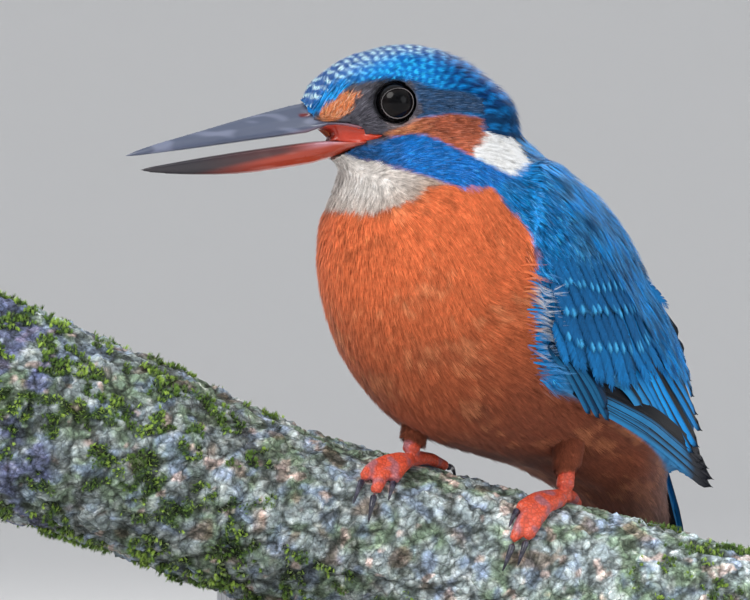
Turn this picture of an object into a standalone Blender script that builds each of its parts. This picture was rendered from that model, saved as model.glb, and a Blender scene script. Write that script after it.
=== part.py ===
"""A common kingfisher, life size, gripping a short cut branch that two rods hold over a flat base.

Lengths are written in millimetres and scaled by MM. The row frame has +Z up and its origin at the
centre of the base's underside. The branch runs along X, high end at -X, and the bird sits on it
facing -X and -Y. Three local frames place the bird, each with x forward, y to the bird's left and
z up: BODY is level and turned to the breast's heading, HEAD is turned and tipped along the bill,
and the feet lie on the branch by a station along it and an angle round it.
"""

import math

import bmesh
import bpy
from mathutils import Matrix, Vector
from mathutils.bvhtree import BVHTree

MM = 0.001
# Clearances: between most neighbours, round plates of feathers, and under the toes and claws.
GAP, PLATE_GAP, GRIP_GAP = 0.3, 0.45, 0.13
SIDES = ("left", 1), ("right", -1)

# Stand: a flat base and two upright rods that end inside the branch.
BASE_LENGTH, BASE_DEPTH, BASE_HEIGHT, BASE_BEVEL = 112.0, 70.0, 8.0, 1.6
ROD_RADIUS, ROD_SINK = 2.6, 5.0
ROD_PLACES = ("left", -34.0), ("right", 36.0)

# Branch: its centre line (x, z) from the high cut end to the low one, and its radius there.
BRANCH_LINE = (-89, 84.5), (-54, 72.5), (-30, 63), (4, 54), (34, 46.5), (60, 39.5), (72, 36.5)
BRANCH_RADII = 21.0, 19.8, 18.2, 17.6, 16.8, 16.2, 15.6
BRANCH_LOBES = 3, 9, 0.7  # how many swellings run along the branch, their twist and their depth
BRANCH_SIDES, BRANCH_ROUNDS = 20, 16
# Knobs of the bark: share of the length, angle round it, height and spread.
BRANCH_KNOBS = (0.05, 70, 4.5, 0.06), (0.02, 10, 4, 0.05), (0.3, 150, 2.5, 0.1), (0.86, 40, 1.2, 0.06)

# Placing of the bird: headings turn from -X towards -Y, pitches tip the beak down.
BODY_CENTRE, BODY_HEADING = (16.0, 0.0, 100.0), 42.0
HEAD_CENTRE, HEAD_HEADING, HEAD_PITCH = (-2.5, -13.0, 143.1), 10.0, 11.5

# Flesh and plumage forms: stations of (forward, up, half width, above, below) along each form.
TRUNK = (
    (-45.5, -50, 4, 3, 3),
    (-42, -41, 10, 5, 6),
    (-35, -30, 15, 10, 9.5),
    (-25, -20, 20, 17, 14.5),
    (-12, -8, 25, 24, 24.5),
    (0, 3, 27.5, 28, 30.5),
    (7, 15, 27.5, 28.5, 30),
    (8.5, 26, 23.5, 25, 24.8),
    (8, 36, 16, 17.5, 16.8),
    (7, 44, 8, 10, 10),
)
HEAD = (
    (-24.2, -11, 2.5, 1.5, 3),
    (-22, -8.6, 7.4, 4.4, 8),
    (-17.8, -5.4, 10.4, 6.2, 11),
    (-12.6, -2.6, 12.3, 8.8, 13),
    (-6, -1, 12.6, 12.1, 13.5),
    (1, -1, 11.2, 12.7, 12.5),
    (7, -1, 9.4, 11.9, 11),
    (12, -1.3, 7.5, 9.8, 9.2),
    (16, -2, 5.8, 7.4, 7.0),
    (19, -2.5, 4.4, 5, 4.8),
)
BILL_UPPER = (
    (54.4, 0.1, 0.25, 0.2, 0.15),
    (48, -0.35, 1.05, 1.6, 0.25),
    (39, -0.9, 1.95, 2.9, 0.35),
    (30, -1.4, 2.9, 4.2, 0.4),
    (22, -1.9, 3.9, 5.2, 0.4),
    (16, -2.3, 5.0, 5.6, 0.4),
    (10, -3.1, 7.3, 3.4, 0.4),
    (5, -4.6, 9.3, 1.4, 0.4),
)
BILL_LOWER = (
    (52, -3.1, 0.25, 0.15, 0.25),
    (46, -3.3, 0.95, 0.25, 1.8),
    (38, -3.6, 1.9, 0.35, 3.3),
    (30, -4.0, 2.8, 0.4, 4.1),
    (23, -4.4, 3.7, 0.4, 4.1),
    (16, -4.9, 4.9, 0.4, 3.8),
    (10, -5.6, 7.2, 0.4, 2.3),
    (4.5, -6.4, 9.4, 0.4, 1.0),
)
GAPE = (
    (16.5, -3.6, 4.3, 1.6, 1.6),
    (12, -4.2, 5.9, 1.6, 1.6),
    (7, -5.0, 8.2, 1.4, 1.4),
    (2.4, -6.0, 9.9, 0.5, 0.5),
)
# How forms melt together: voxel size, rounds of softening, share of triangles kept.
FLESH_BLEND, FOOT_BLEND = (1.8, 6, 0.055), (0.5, 2, 0.06)
# Planes that part head from neck and neck from trunk: a point, and the way to the head.
HEAD_PLANE = (2, -9, 128), (-0.3, -0.15, 0.95)
NECK_PLANE = (8, -5, 118), (-0.3, -0.15, 0.95)
EYE_PLACE, EYE_RADIUS = (0.0, 8.8, 0.0), 3.9

# Folded wing, in the BODY frame for the bird's left side. Each plate of feathers lies between two
# edge lines, from the shoulder to the tip, and bulges away from the body between them.
PLATE_LIFT = 0.8
WING_PLATES = {
    "coverts": (
        ((12, 21, 12), (6, 24.5, -2), (-3, 25, -8), (-13.5, 22, -14.5)),
        ((6, 14, 30), (-13, 8, 29.5), (-28, 7, 21.5), (-38.5, 6, 9)),
        (5, 7, 5, 3),
        2.6,
    ),
    "secondaries": (
        ((-13.6, 22, -14.2), (-25, 18.6, -18.6), (-38.5, 13.8, -23.2), (-50, 9, -26.4)),
        ((-38.6, 6, 9), (-44.5, 5.5, 1), (-49, 5, -7), (-53, 4.5, -18)),
        (4, 3.5, 2.5, 1),
        2.0,
    ),
    "primaries": (
        ((4, 24.5, -13), (-12, 22, -19.6), (-25, 19, -24.8), (-39, 14, -30), (-56, 7, -35)),
        ((2, 24.5, -7.2), (-14, 21.8, -14.9), (-28, 18, -19.8), (-40, 13.5, -24), (-54, 6, -27.2)),
        (0.5, 0.5, 0.4, 0.2),
        1.6,
    ),
}
WING_OUTWARD = (-0.1, 1, 0.2)

# Tail, in the BODY frame: (x, z, half width) from its root to its square end.
TAIL = (-34, -14, 7), (-41.5, -27, 8.5), (-45.4, -41, 10), (-46.4, -54, 11.5)
TAIL_THICKNESS = 2.4

# Feet, by side: where the leg meets the branch, as (station, angle) with angles from the top
# towards -Y, then each toe's points to its tip and the point of its claw.
FEET = {
    "left": (
        (32.4, 20),
        {
            "middle": ((27.2, 38), (24.2, 54), (22.4, 70), (20.2, 90)),
            "outer": ((29.2, 38), (26.8, 53), (25.0, 66), (23.2, 84)),
            "inner": ((28.6, 28), (25.6, 37), (23.2, 47), (21.4, 61)),
            "hind": ((33, 8), (34.4, -6), (35.6, -22), (36.6, -40)),
        },
    ),
    "right": (
        (1.6, 20),
        {
            "middle": ((-1.4, 35), (-3.8, 49), (-5.2, 62), (-6.4, 81)),
            "outer": ((-2.4, 30), (-5.6, 42), (-7.6, 54), (-9.4, 72)),
            "inner": ((0.6, 30), (-0.6, 40), (-1.4, 50), (-2.4, 64)),
            "hind": ((4, 8), (6.6, -4), (9.2, -16), (11.2, -30)),
        },
    ),
}
TOE_RADII = 1.5, 1.25, 1.15, 1.0
TOE_LIFTS = 1.15, 1.0, 0.85
CLAW_ARCH_LIFT, CLAW_POINT_LIFT = 1.5, 0.25
CLAW_RADII = 0.75, 0.55, 0.3, 0.05
LEG_TOPS = {"left": (34, 0, 79), "right": (4, -2, 84)}
LEG_RADII = 1.7, 1.5, 1.9, 2.6

def level_frame(centre, heading, pitch=0.0):
    """The matrix of a local frame at a centre, turned from -X towards -Y and tipped nose down."""
    turn = Matrix.Rotation(math.radians(180 + heading), 4, "Z")
    tip = Matrix.Rotation(math.radians(pitch), 4, "Y")
    return Matrix.Translation(Vector(centre)) @ turn @ tip


BODY = level_frame(BODY_CENTRE, BODY_HEADING)
HEAD_FRAME = level_frame(HEAD_CENTRE, HEAD_HEADING, HEAD_PITCH)


def along(values, share):
    """The smooth (Catmull-Rom) value at a share, 0 to 1, of a list of numbers or Vectors."""
    spans = len(values) - 1
    first = min(int(share * spans), spans - 1)
    u = share * spans - first
    a, b, c, d = (values[min(max(first + k, 0), spans)] for k in (-1, 0, 1, 2))
    return (
        b
        + (c - a) * (u / 2)
        + (a - b * 2.5 + c * 2 - d * 0.5) * u**2
        + (b * 1.5 - a * 0.5 - c * 1.5 + d * 0.5) * u**3
    )


def collection_named(name):
    found = bpy.data.collections.new(name)
    bpy.context.scene.collection.children.link(found)
    return found


def material_named(name, colour, roughness, metallic=0.0):
    made = bpy.data.materials.new(name)
    made.use_nodes = True
    shader = made.node_tree.nodes["Principled BSDF"]
    shader.inputs["Base Color"].default_value = (*colour, 1)
    shader.inputs["Roughness"].default_value = roughness
    shader.inputs["Metallic"].default_value = metallic
    return made


def object_from(name, bm, group, material=None):
    """A smooth-shaded object from a bmesh, whose vertices are in row-frame millimetres."""
    bmesh.ops.transform(bm, matrix=Matrix.Scale(MM, 4), verts=bm.verts)
    bmesh.ops.recalc_face_normals(bm, faces=bm.faces)
    mesh = bpy.data.meshes.new(name)
    bm.to_mesh(mesh)
    bm.free()
    mesh.shade_smooth()
    made = bpy.data.objects.new(name, mesh)
    if material:
        mesh.materials.append(material)
    group.objects.link(made)
    return made


def as_guide(obj):
    """Marks an object that only shapes others, such as a cutter."""
    obj.hide_render = True
    obj.display_type = "WIRE"
    return obj


def oval(angle, half_width, above, below, ridge=2.0):
    """A point of a cross-section: flat or round below, and pointed above where ridge is under 2."""
    c, s = math.cos(angle), math.sin(angle)
    if s < 0:
        return c * half_width, s * below
    power = 2 / ridge
    return math.copysign(abs(c) ** power, c) * half_width, s**power * above


def round_end(share, reach):
    """Grows from 0 to 1 as a quarter circle over the first reach of a form."""
    return math.sqrt(max(0.0, 1 - (1 - min(share / reach, 1)) ** 2)) if reach else 1.0


def spindle(name, stations, group, material=None, frame=None, sides=24, rounds=16,
            ends=(0.12, 0.12), ridge=2.0):
    """A closed form through stations of (x, z, half width, above, below), from a sphere's grid."""
    line = [Vector((x, 0, z)) for x, z, *_ in stations]
    facing = math.copysign(1, line[-1].x - line[0].x)
    bm = bmesh.new()
    bmesh.ops.create_uvsphere(bm, u_segments=sides, v_segments=rounds, radius=1)
    for v in bm.verts:
        share = math.acos(max(-1.0, min(1.0, v.co.z))) / math.pi
        angle = math.atan2(v.co.y, v.co.x)
        cap = round_end(share, ends[0]) * round_end(1 - share, ends[1])
        if min(share, 1 - share) < 1e-6:
            cap = 0.0
        sizes = [max(0.0, along([s[k] for s in stations], share)) * cap for k in (2, 3, 4)]
        step = 0.02
        ahead = along(line, min(1.0, share + step)) - along(line, max(0.0, share - step))
        upward = (ahead * facing).normalized().cross(Vector((0, 1, 0)))
        side, rise = oval(angle, *sizes, ridge)
        v.co = along(line, share) + Vector((0, side, 0)) + upward * rise
    if frame:
        bmesh.ops.transform(bm, matrix=frame, verts=bm.verts)
    return object_from(name, bm, group, material)


def rod_form(name, points, radii, group, material=None, sides=10, rounds=10, ends=(0.0, 0.1)):
    """A round limb along points in space, with a radius for each, from a sphere's grid."""
    line = [Vector(p) for p in points]
    bm = bmesh.new()
    bmesh.ops.create_uvsphere(bm, u_segments=sides, v_segments=rounds, radius=1)
    for v in bm.verts:
        share = math.acos(max(-1.0, min(1.0, v.co.z))) / math.pi
        angle = math.atan2(v.co.y, v.co.x)
        pole = min(share, 1 - share) < 1e-6
        cap = 0.0 if pole else round_end(share, ends[0]) * round_end(1 - share, ends[1])
        step = 0.03
        ahead = along(line, min(1.0, share + step)) - along(line, max(0.0, share - step))
        across = ahead.cross(Vector((0.3, 1, 0.2))).normalized()
        over = ahead.normalized().cross(across)
        reach = along(radii, share) * cap
        v.co = along(line, share) + (across * math.cos(angle) + over * math.sin(angle)) * reach
    return object_from(name, bm, group, material)


def plate(name, lower, upper, outward, bulge, thickness, group, material, frame, side=1,
          cells=(12, 5), bed=None):
    """A curved plate of feathers between two edge lines, laid over a bed where it would sink in."""
    outward = Vector(outward).normalized()
    surface = BVHTree.FromBMesh(bed) if bed else None
    bm = bmesh.new()
    bmesh.ops.create_grid(bm, x_segments=cells[0], y_segments=cells[1], size=0.5)
    for v in bm.verts:
        share, across = v.co.x + 0.5, v.co.y + 0.5
        low = along([Vector(p) for p in lower], share)
        high = along([Vector(p) for p in upper], share)
        place = low.lerp(high, across) + outward * along(bulge, share) * 4 * across * (1 - across)
        place.y *= side
        v.co = frame @ place
        if surface:
            away = frame.to_3x3() @ Vector((outward.x, outward.y * side, outward.z))
            found = surface.ray_cast((v.co + away * 40) * MM, -away, 40 * MM)[0]
            if found:
                v.co = found / MM + away * PLATE_LIFT
    bmesh.ops.smooth_vert(bm, verts=bm.verts, factor=0.5, use_axis_x=True, use_axis_y=True,
                          use_axis_z=True)
    made = object_from(name, bm, group, material)
    thick = made.modifiers.new("thickness", "SOLIDIFY")
    thick.thickness = thickness * MM
    thick.offset = 0.0
    return settle(made)


def evaluated_bmesh(obj):
    graph = bpy.context.evaluated_depsgraph_get()
    bm = bmesh.new()
    bm.from_object(obj, graph)
    bmesh.ops.transform(bm, matrix=obj.matrix_world, verts=bm.verts)
    return bm


def settle(obj):
    """Applies an object's modifiers to its mesh."""
    bpy.context.view_layer.update()
    graph = bpy.context.evaluated_depsgraph_get()
    mesh = bpy.data.meshes.new_from_object(obj.evaluated_get(graph))
    obj.modifiers.clear()
    obj.data = mesh
    return obj


def grown(obj, by, group):
    """A guide with the object's shape, its surface moved out by a distance."""
    bpy.context.view_layer.update()
    bm = evaluated_bmesh(obj)
    bmesh.ops.remove_doubles(bm, verts=bm.verts, dist=1e-6)
    bmesh.ops.recalc_face_normals(bm, faces=bm.faces)
    bm.normal_update()
    places = [(v, v.co + v.normal * min(v.calc_shell_factor(), 1.6) * by * MM) for v in bm.verts]
    for v, place in places:
        v.co = place
    mesh = bpy.data.meshes.new(obj.name + "_grown")
    bm.to_mesh(mesh)
    bm.free()
    made = bpy.data.objects.new(obj.name + "_grown", mesh)
    group.objects.link(made)
    return as_guide(made)


def boolean(obj, other, operation):
    change = obj.modifiers.new(operation.lower(), "BOOLEAN")
    change.operation = operation
    change.object = other
    return settle(obj)


def without_crumbs(obj):
    """Keeps only the largest connected body of a mesh."""
    bm = bmesh.new()
    bm.from_mesh(obj.data)
    loose, bodies = set(bm.verts), []
    while loose:
        body, front = set(), [loose.pop()]
        while front:
            v = front.pop()
            body.add(v)
            near = {e.other_vert(v) for e in v.link_edges} & loose
            loose -= near
            front.extend(near)
        bodies.append(body)
    bodies.sort(key=len)
    for crumb in bodies[:-1]:
        bmesh.ops.delete(bm, geom=list(crumb), context="VERTS")
    bm.to_mesh(obj.data)
    bm.free()
    return obj


def carve(obj, others, group, gap=GAP):
    """Cuts each neighbour's shape, grown by the gap, out of the object."""
    for other in others:
        boolean(obj, grown(other, gap, group), "DIFFERENCE")
    return without_crumbs(obj)


def sliced(name, obj, cuts, group, material):
    """A copy of a closed form, kept on the side of each plane (point, normal) the normal points to."""
    bm = evaluated_bmesh(obj)
    for point, normal in cuts:
        parts = bm.verts[:] + bm.edges[:] + bm.faces[:]
        bmesh.ops.bisect_plane(bm, geom=parts, dist=1e-7, plane_co=Vector(point) * MM,
                               plane_no=normal, clear_inner=True)
        rim = [e for e in bm.edges if e.is_boundary]
        bmesh.ops.holes_fill(bm, edges=rim, sides=0)
    bmesh.ops.triangulate(bm, faces=bm.faces)
    bmesh.ops.transform(bm, matrix=Matrix.Scale(1 / MM, 4), verts=bm.verts)
    return object_from(name, bm, group, material)


# ---- The stand and the branch ----

def make_base(group, material):
    bm = bmesh.new()
    bmesh.ops.create_cube(bm, size=1)
    bmesh.ops.scale(bm, vec=(BASE_LENGTH, BASE_DEPTH, BASE_HEIGHT), verts=bm.verts)
    bmesh.ops.translate(bm, vec=(0, 0, BASE_HEIGHT / 2), verts=bm.verts)
    base = object_from("stand_base", bm, group, material)
    base.data.shade_flat()
    rounding = base.modifiers.new("rounding", "BEVEL")
    rounding.width = BASE_BEVEL * MM
    rounding.segments = 3
    return settle(base)


def branch_point(share, angle, lift=0.0):
    """A point over the bark, at a share of the length and an angle from the top towards -Y."""
    line = [Vector((x, 0, z)) for x, z in BRANCH_LINE]
    ahead = along(line, min(1.0, share + 0.01)) - along(line, max(0.0, share - 0.01))
    upward = ahead.normalized().cross(Vector((0, 1, 0)))
    lobes, twist, depth = BRANCH_LOBES
    reach = lift + along(BRANCH_RADII, share) + depth * math.sin(lobes * angle + twist * share)
    for place, round_at, height, spread in BRANCH_KNOBS:
        away = (share - place) ** 2 + (math.sin((angle - math.radians(round_at)) / 2) / 2) ** 2
        reach += height * math.exp(-away / spread**2)
    outward = upward * math.cos(angle) - Vector((0, math.sin(angle), 0))
    return along(line, share) + outward * reach


def branch_share(x, angle):
    """The share of the branch's length at which its bark, at an angle round it, has a given x."""
    low, high = 0.0, 1.0
    for _ in range(24):
        middle = (low + high) / 2
        if branch_point(middle, angle).x < x:
            low = middle
        else:
            high = middle
    return (low + high) / 2


def make_branch(group, material, rods, guides):
    bm = bmesh.new()
    bmesh.ops.create_cone(bm, cap_ends=True, segments=BRANCH_SIDES, radius1=1, radius2=1, depth=1)
    lengthwise = [e for e in bm.edges if abs(e.verts[0].co.z - e.verts[1].co.z) > 0.5]
    bmesh.ops.subdivide_edges(bm, edges=lengthwise, cuts=BRANCH_ROUNDS - 1, use_grid_fill=True)
    for v in bm.verts:
        v.co = branch_point(v.co.z + 0.5, math.atan2(v.co.y, v.co.x))
    branch = object_from("perch", bm, group, material)
    return carve(branch, rods, guides)


def make_rod(side, x, group, material):
    top = branch_point(branch_share(x, math.pi), math.pi).z + ROD_SINK
    bm = bmesh.new()
    bmesh.ops.create_cone(bm, cap_ends=True, segments=20, radius1=ROD_RADIUS, radius2=ROD_RADIUS,
                          depth=top - BASE_HEIGHT - GAP)
    bmesh.ops.translate(bm, vec=(x, 0, (top + BASE_HEIGHT + GAP) / 2), verts=bm.verts)
    return object_from(f"stand_rod_{side}", bm, group, material)


# ---- The bird ----

def grown_together(obj, others, voxel, softening, share_kept):
    """Melts overlapping closed forms into one soft skin of few triangles."""
    for other in others:
        bm = bmesh.new()
        bm.from_mesh(obj.data)
        bm.from_mesh(other.data)
        bm.to_mesh(obj.data)
        bm.free()
    blend = obj.modifiers.new("blend", "REMESH")
    blend.mode = "VOXEL"
    blend.voxel_size = voxel * MM
    soften = obj.modifiers.new("soften", "SMOOTH")
    soften.factor = 0.5
    soften.iterations = softening
    thin = obj.modifiers.new("thin", "DECIMATE")
    thin.ratio = share_kept
    return settle(obj)


def make_flesh(guides):
    """Head and trunk as one soft form, to be parted later."""
    trunk = as_guide(spindle("flesh", TRUNK, guides, frame=BODY, sides=40, rounds=32))
    head = as_guide(spindle("flesh_head", HEAD, guides, frame=HEAD_FRAME, sides=36, rounds=26))
    return grown_together(trunk, [head], *FLESH_BLEND)


def make_bill(group, upper_material, lower_material, lining, guides):
    upper = spindle("bill_upper", BILL_UPPER, group, upper_material, HEAD_FRAME, 14, 13, (0, 0.1), 1.5)
    lower = spindle("bill_lower", BILL_LOWER, group, lower_material, HEAD_FRAME, 14, 13, (0, 0.1))
    gape = spindle("gape", GAPE, group, lining, HEAD_FRAME, 12, 8)
    carve(gape, (upper, lower), guides)
    return upper, lower, gape


def make_eye(side, sign, group, material):
    bm = bmesh.new()
    bmesh.ops.create_uvsphere(bm, u_segments=16, v_segments=9, radius=EYE_RADIUS)
    x, y, z = EYE_PLACE
    bmesh.ops.transform(bm, matrix=HEAD_FRAME @ Matrix.Translation((x, y * sign, z)), verts=bm.verts)
    return object_from(f"eye_{side}", bm, group, material)


def make_wing(side, sign, group, material, bed, guides):
    """The three plates of a folded wing, each cut back where the one above covers it."""
    above = []
    for name, (lower, upper, bulge, thickness) in WING_PLATES.items():
        feathers = plate(f"wing_{side}_{name}", lower, upper, WING_OUTWARD, bulge, thickness,
                         group, material, BODY, sign, bed=bed)
        above.append(carve(feathers, above, guides))
    return above


def make_tail(group, material):
    left = [(x, w, z) for x, z, w in TAIL]
    right = [(x, -w, z) for x, z, w in TAIL]
    return plate("tail", left, right, (-1, 0, 0), (1, 1, 1, 1), TAIL_THICKNESS, group, material, BODY,
                 cells=(7, 5))


def foot_point(station, angle, lift):
    turn = math.radians(angle)
    return branch_point(branch_share(station, turn), turn, lift)


def make_leg(side, group, material):
    (station, angle), _ = FEET[side]
    ankle = foot_point(station, angle, 1.6)
    top = Vector(LEG_TOPS[side])
    points = ankle, ankle.lerp(top, 0.3), ankle.lerp(top, 0.65), top
    return rod_form(f"leg_{side}", points, LEG_RADII, group, material, 10, 6, (0.15, 0.15))


def make_foot(side, group, material, horn, guides):
    """Four toes grown into one foot, and a claw at the end of each."""
    (station, angle), toes = FEET[side]
    ankle = foot_point(station, angle, 1.0)
    forms, claws = [], []
    for toe, (*joints, point) in toes.items():
        places = [foot_point(*joint, lift) for joint, lift in zip(joints, TOE_LIFTS)]
        forms.append(rod_form(f"toe_{side}_{toe}", [ankle, *places], TOE_RADII, guides, None, 10, 12,
                              (0.12, 0.12)))
        (start, turn), (end, end_turn) = joints[-1], point
        arch = foot_point((start + end) / 2, (turn + end_turn) / 2, CLAW_ARCH_LIFT)
        claw_tip = foot_point(*point, CLAW_POINT_LIFT)
        claws.append(rod_form(f"claw_{side}_{toe}", (places[-1], arch, claw_tip), CLAW_RADII,
                              group, horn, 6, 6, (0.1, 0.0)))
    for form in forms:
        as_guide(form)
    blended = grown_together(forms[0], forms[1:], *FOOT_BLEND)
    foot = bpy.data.objects.new(f"foot_{side}", blended.data.copy())
    foot.data.materials.append(material)
    group.objects.link(foot)
    return foot, claws


def make_bird(group, guides, perch, colours):
    flesh = make_flesh(guides)
    upper, lower, gape = make_bill(group, colours["horn"], colours["pink horn"], colours["mouth"], guides)
    eyes = [make_eye(side, sign, group, colours["eye"]) for side, sign in SIDES]
    bed = evaluated_bmesh(flesh)
    wings = [p for side, sign in SIDES
             for p in make_wing(side, sign, group, colours["wing"], bed, guides)]
    tail = make_tail(group, colours["wing"])
    legs = {side: make_leg(side, group, colours["skin"]) for side, _ in SIDES}
    for side, leg in legs.items():
        foot, claws = make_foot(side, group, colours["skin"], colours["claw"], guides)
        carve(foot, (perch, leg), guides, GRIP_GAP)
        for claw in claws:
            carve(claw, (foot, perch), guides, GRIP_GAP)
    above, below = Vector(HEAD_PLANE[1]).normalized(), Vector(NECK_PLANE[1]).normalized()
    split = above * GAP / 2
    head = sliced("head", flesh, [(Vector(HEAD_PLANE[0]) + split, above)], group, colours["blue"])
    neck = sliced("neck", flesh, [(Vector(HEAD_PLANE[0]) - split, -above),
                                  (Vector(NECK_PLANE[0]) + split, below)], group, colours["white"])
    trunk = sliced("trunk", flesh, [(Vector(NECK_PLANE[0]) - split, -below)], group, colours["orange"])
    carve(carve(head, (gape, upper, lower, *eyes), guides), wings, guides, PLATE_GAP)
    carve(carve(neck, [gape], guides), wings, guides, PLATE_GAP)
    carve(carve(trunk, (*legs.values(), perch), guides), (*wings, tail), guides, PLATE_GAP)


def main():
    for obj in list(bpy.data.objects):
        bpy.data.objects.remove(obj)
    group, guides = collection_named("kingfisher"), collection_named("guides")
    wood = material_named("bark", (0.19, 0.19, 0.17), 0.9)
    metal = material_named("rods", (0.35, 0.35, 0.35), 0.35, 1.0)
    rods = [make_rod(side, x, group, metal) for side, x in ROD_PLACES]
    make_base(group, material_named("base", (0.02, 0.02, 0.02), 0.5))
    perch = make_branch(group, wood, rods, guides)
    make_bird(group, guides, perch, {
        "horn": material_named("horn", (0.08, 0.09, 0.12), 0.35),
        "pink horn": material_named("pink horn", (0.45, 0.12, 0.08), 0.35),
        "mouth": material_named("mouth", (0.7, 0.08, 0.03), 0.4),
        "eye": material_named("eye", (0.01, 0.008, 0.008), 0.05),
        "wing": material_named("wing", (0.02, 0.17, 0.35), 0.6),
        "skin": material_named("skin", (0.7, 0.09, 0.03), 0.45),
        "claw": material_named("claw", (0.02, 0.03, 0.05), 0.35),
        "blue": material_named("blue", (0.03, 0.25, 0.55), 0.6),
        "white": material_named("white", (0.85, 0.83, 0.78), 0.7),
        "orange": material_named("orange", (0.55, 0.13, 0.05), 0.7),
    })


main()
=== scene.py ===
# %% [markdown]
# A kingfisher on a mossy branch, as a museum shows it. The solid model is already built and packed:
# this lesson dresses it. The solids give every place and size, so nothing here is measured twice.
# We load them first.

# %% The frame
import math

import bmesh
import bpy
import numpy as np
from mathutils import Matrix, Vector, noise
from mathutils.bvhtree import BVHTree


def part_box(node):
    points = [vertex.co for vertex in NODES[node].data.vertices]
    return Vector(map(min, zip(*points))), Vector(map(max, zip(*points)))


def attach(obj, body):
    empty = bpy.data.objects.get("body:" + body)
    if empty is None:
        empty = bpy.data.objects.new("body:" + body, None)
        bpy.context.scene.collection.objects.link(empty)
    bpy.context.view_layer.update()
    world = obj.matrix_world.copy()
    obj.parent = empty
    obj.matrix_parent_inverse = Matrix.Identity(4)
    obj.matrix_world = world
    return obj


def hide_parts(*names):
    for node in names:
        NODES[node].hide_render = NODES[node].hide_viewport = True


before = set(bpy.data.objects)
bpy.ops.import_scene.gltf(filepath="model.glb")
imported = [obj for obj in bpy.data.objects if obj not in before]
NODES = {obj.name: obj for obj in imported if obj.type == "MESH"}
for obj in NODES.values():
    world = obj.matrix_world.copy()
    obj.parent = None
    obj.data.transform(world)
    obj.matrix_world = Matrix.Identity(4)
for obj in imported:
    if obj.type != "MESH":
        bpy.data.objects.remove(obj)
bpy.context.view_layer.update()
MM = 0.001
rng = np.random.default_rng(7)

# %% [markdown]
# Two frames of axes make the bird easy to describe, each in millimetres with x forward, y to the
# bird's left and z up. The head's sits midway between the eyes and points along the bill. The
# body's is level and lies between the wings, so it needs only which way the two wings face.


# %% Axes of the head and of the body
def points_of(node):
    mesh = NODES[node].data
    flat = np.empty(len(mesh.vertices) * 3, np.float32)
    mesh.vertices.foreach_get("co", flat)
    return flat.reshape(-1, 3).astype(float)


def middle_of(node):
    low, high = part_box(node)
    return np.array((low + high) / 2)


def axes_from(origin, forward, leftward):
    """Origin and a matrix whose rows are the forward, left and up axes."""
    forward = forward / np.linalg.norm(forward)
    upward = np.cross(forward, leftward)
    upward /= np.linalg.norm(upward)
    return origin, np.array([forward, np.cross(upward, forward), upward])


def inside(points, axes):
    """World points, in metres, as local millimetres."""
    return (points - axes[0]) @ axes[1].T / MM


def side_view(points, axes):
    """World points as flat local millimetres, seen from the side: forward and up."""
    return inside(points, axes)[:, (0, 2)]


def outside(points, axes):
    """Local millimetres as world points, in metres."""
    return points @ axes[1] * MM + axes[0]


def turned(directions, axes):
    """Local directions as world directions."""
    return directions @ axes[1]


SIDES = (("left", 1), ("right", -1))
EYE_MIDDLE = (middle_of("eye_left") + middle_of("eye_right")) / 2
BILL_POINTS = points_of("bill_upper")
BILL_TIP = BILL_POINTS[np.argmax(np.linalg.norm(BILL_POINTS - EYE_MIDDLE, axis=1))]
HEAD = axes_from(EYE_MIDDLE, BILL_TIP - EYE_MIDDLE, middle_of("eye_left") - middle_of("eye_right"))

WING_MIDDLES = [points_of(f"wing_{side}_coverts").mean(0) for side in ("left", "right")]
ACROSS_BODY = WING_MIDDLES[0] - WING_MIDDLES[1]
ACROSS_BODY[2] = 0
AHEAD_OF_WINGS, BELOW_WINGS = 9.7, 10.9
BODY = axes_from(sum(WING_MIDDLES) / 2, np.cross(ACROSS_BODY, (0, 0, 1)), ACROSS_BODY)
BODY = (outside(np.array([[AHEAD_OF_WINGS, 0, -BELOW_WINGS]]), BODY)[0], BODY[1])
print("head at", HEAD[0].round(4), "body at", BODY[0].round(4), "facing", BODY[1][0].round(3))

# %% [markdown]
# A museum piece is looked at in soft light against a plain ground. The floor is a wide bowl whose rim
# curves up into a wall, so that no horizon shows from any side. A big light high on the left draws
# the form of the breast, and weaker ones open the shadows. The long lens keeps true proportions.

# %% Floor, lights and camera
def plain_colour(red, green, blue):
    """A colour written as on a paint chart, 0 to 255, as the linear values that shaders mix."""
    share = np.array((red, green, blue)) / 255
    return np.where(share <= 0.04045, share / 12.92, ((share + 0.055) / 1.055) ** 2.4)


def palette(chart):
    """Named paints from a chart of them."""
    return {name: plain_colour(*rgb) for name, rgb in chart.items()}


def matt(name, colour, roughness):
    made = bpy.data.materials.new(name)
    made.use_nodes = True
    shader = made.node_tree.nodes["Principled BSDF"]
    shader.inputs["Base Color"].default_value = (*colour, 1)
    shader.inputs["Roughness"].default_value = roughness
    shader.inputs["Specular IOR Level"].default_value = 0.1
    return made


def add_object(name, data):
    made = bpy.data.objects.new(name, data)
    bpy.context.scene.collection.objects.link(made)
    return made


def spun(profile, steps, merge):
    """A profile of (radius, height) points spun round the upright axis."""
    bm = bmesh.new()
    verts = [bm.verts.new((radius, 0, height)) for radius, height in profile]
    edges = [bm.edges.new(pair) for pair in zip(verts, verts[1:])]
    bmesh.ops.spin(bm, geom=verts + edges, cent=(0, 0, 0), axis=(0, 0, 1), steps=steps,
                   angle=2 * math.pi, use_merge=True)
    bmesh.ops.remove_doubles(bm, verts=bm.verts, dist=merge)
    return bm


def object_from(name, bm):
    """A smooth object from a bmesh, which is used up."""
    mesh = bpy.data.meshes.new(name)
    bm.to_mesh(mesh)
    bm.free()
    mesh.shade_smooth()
    return add_object(name, mesh)


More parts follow.
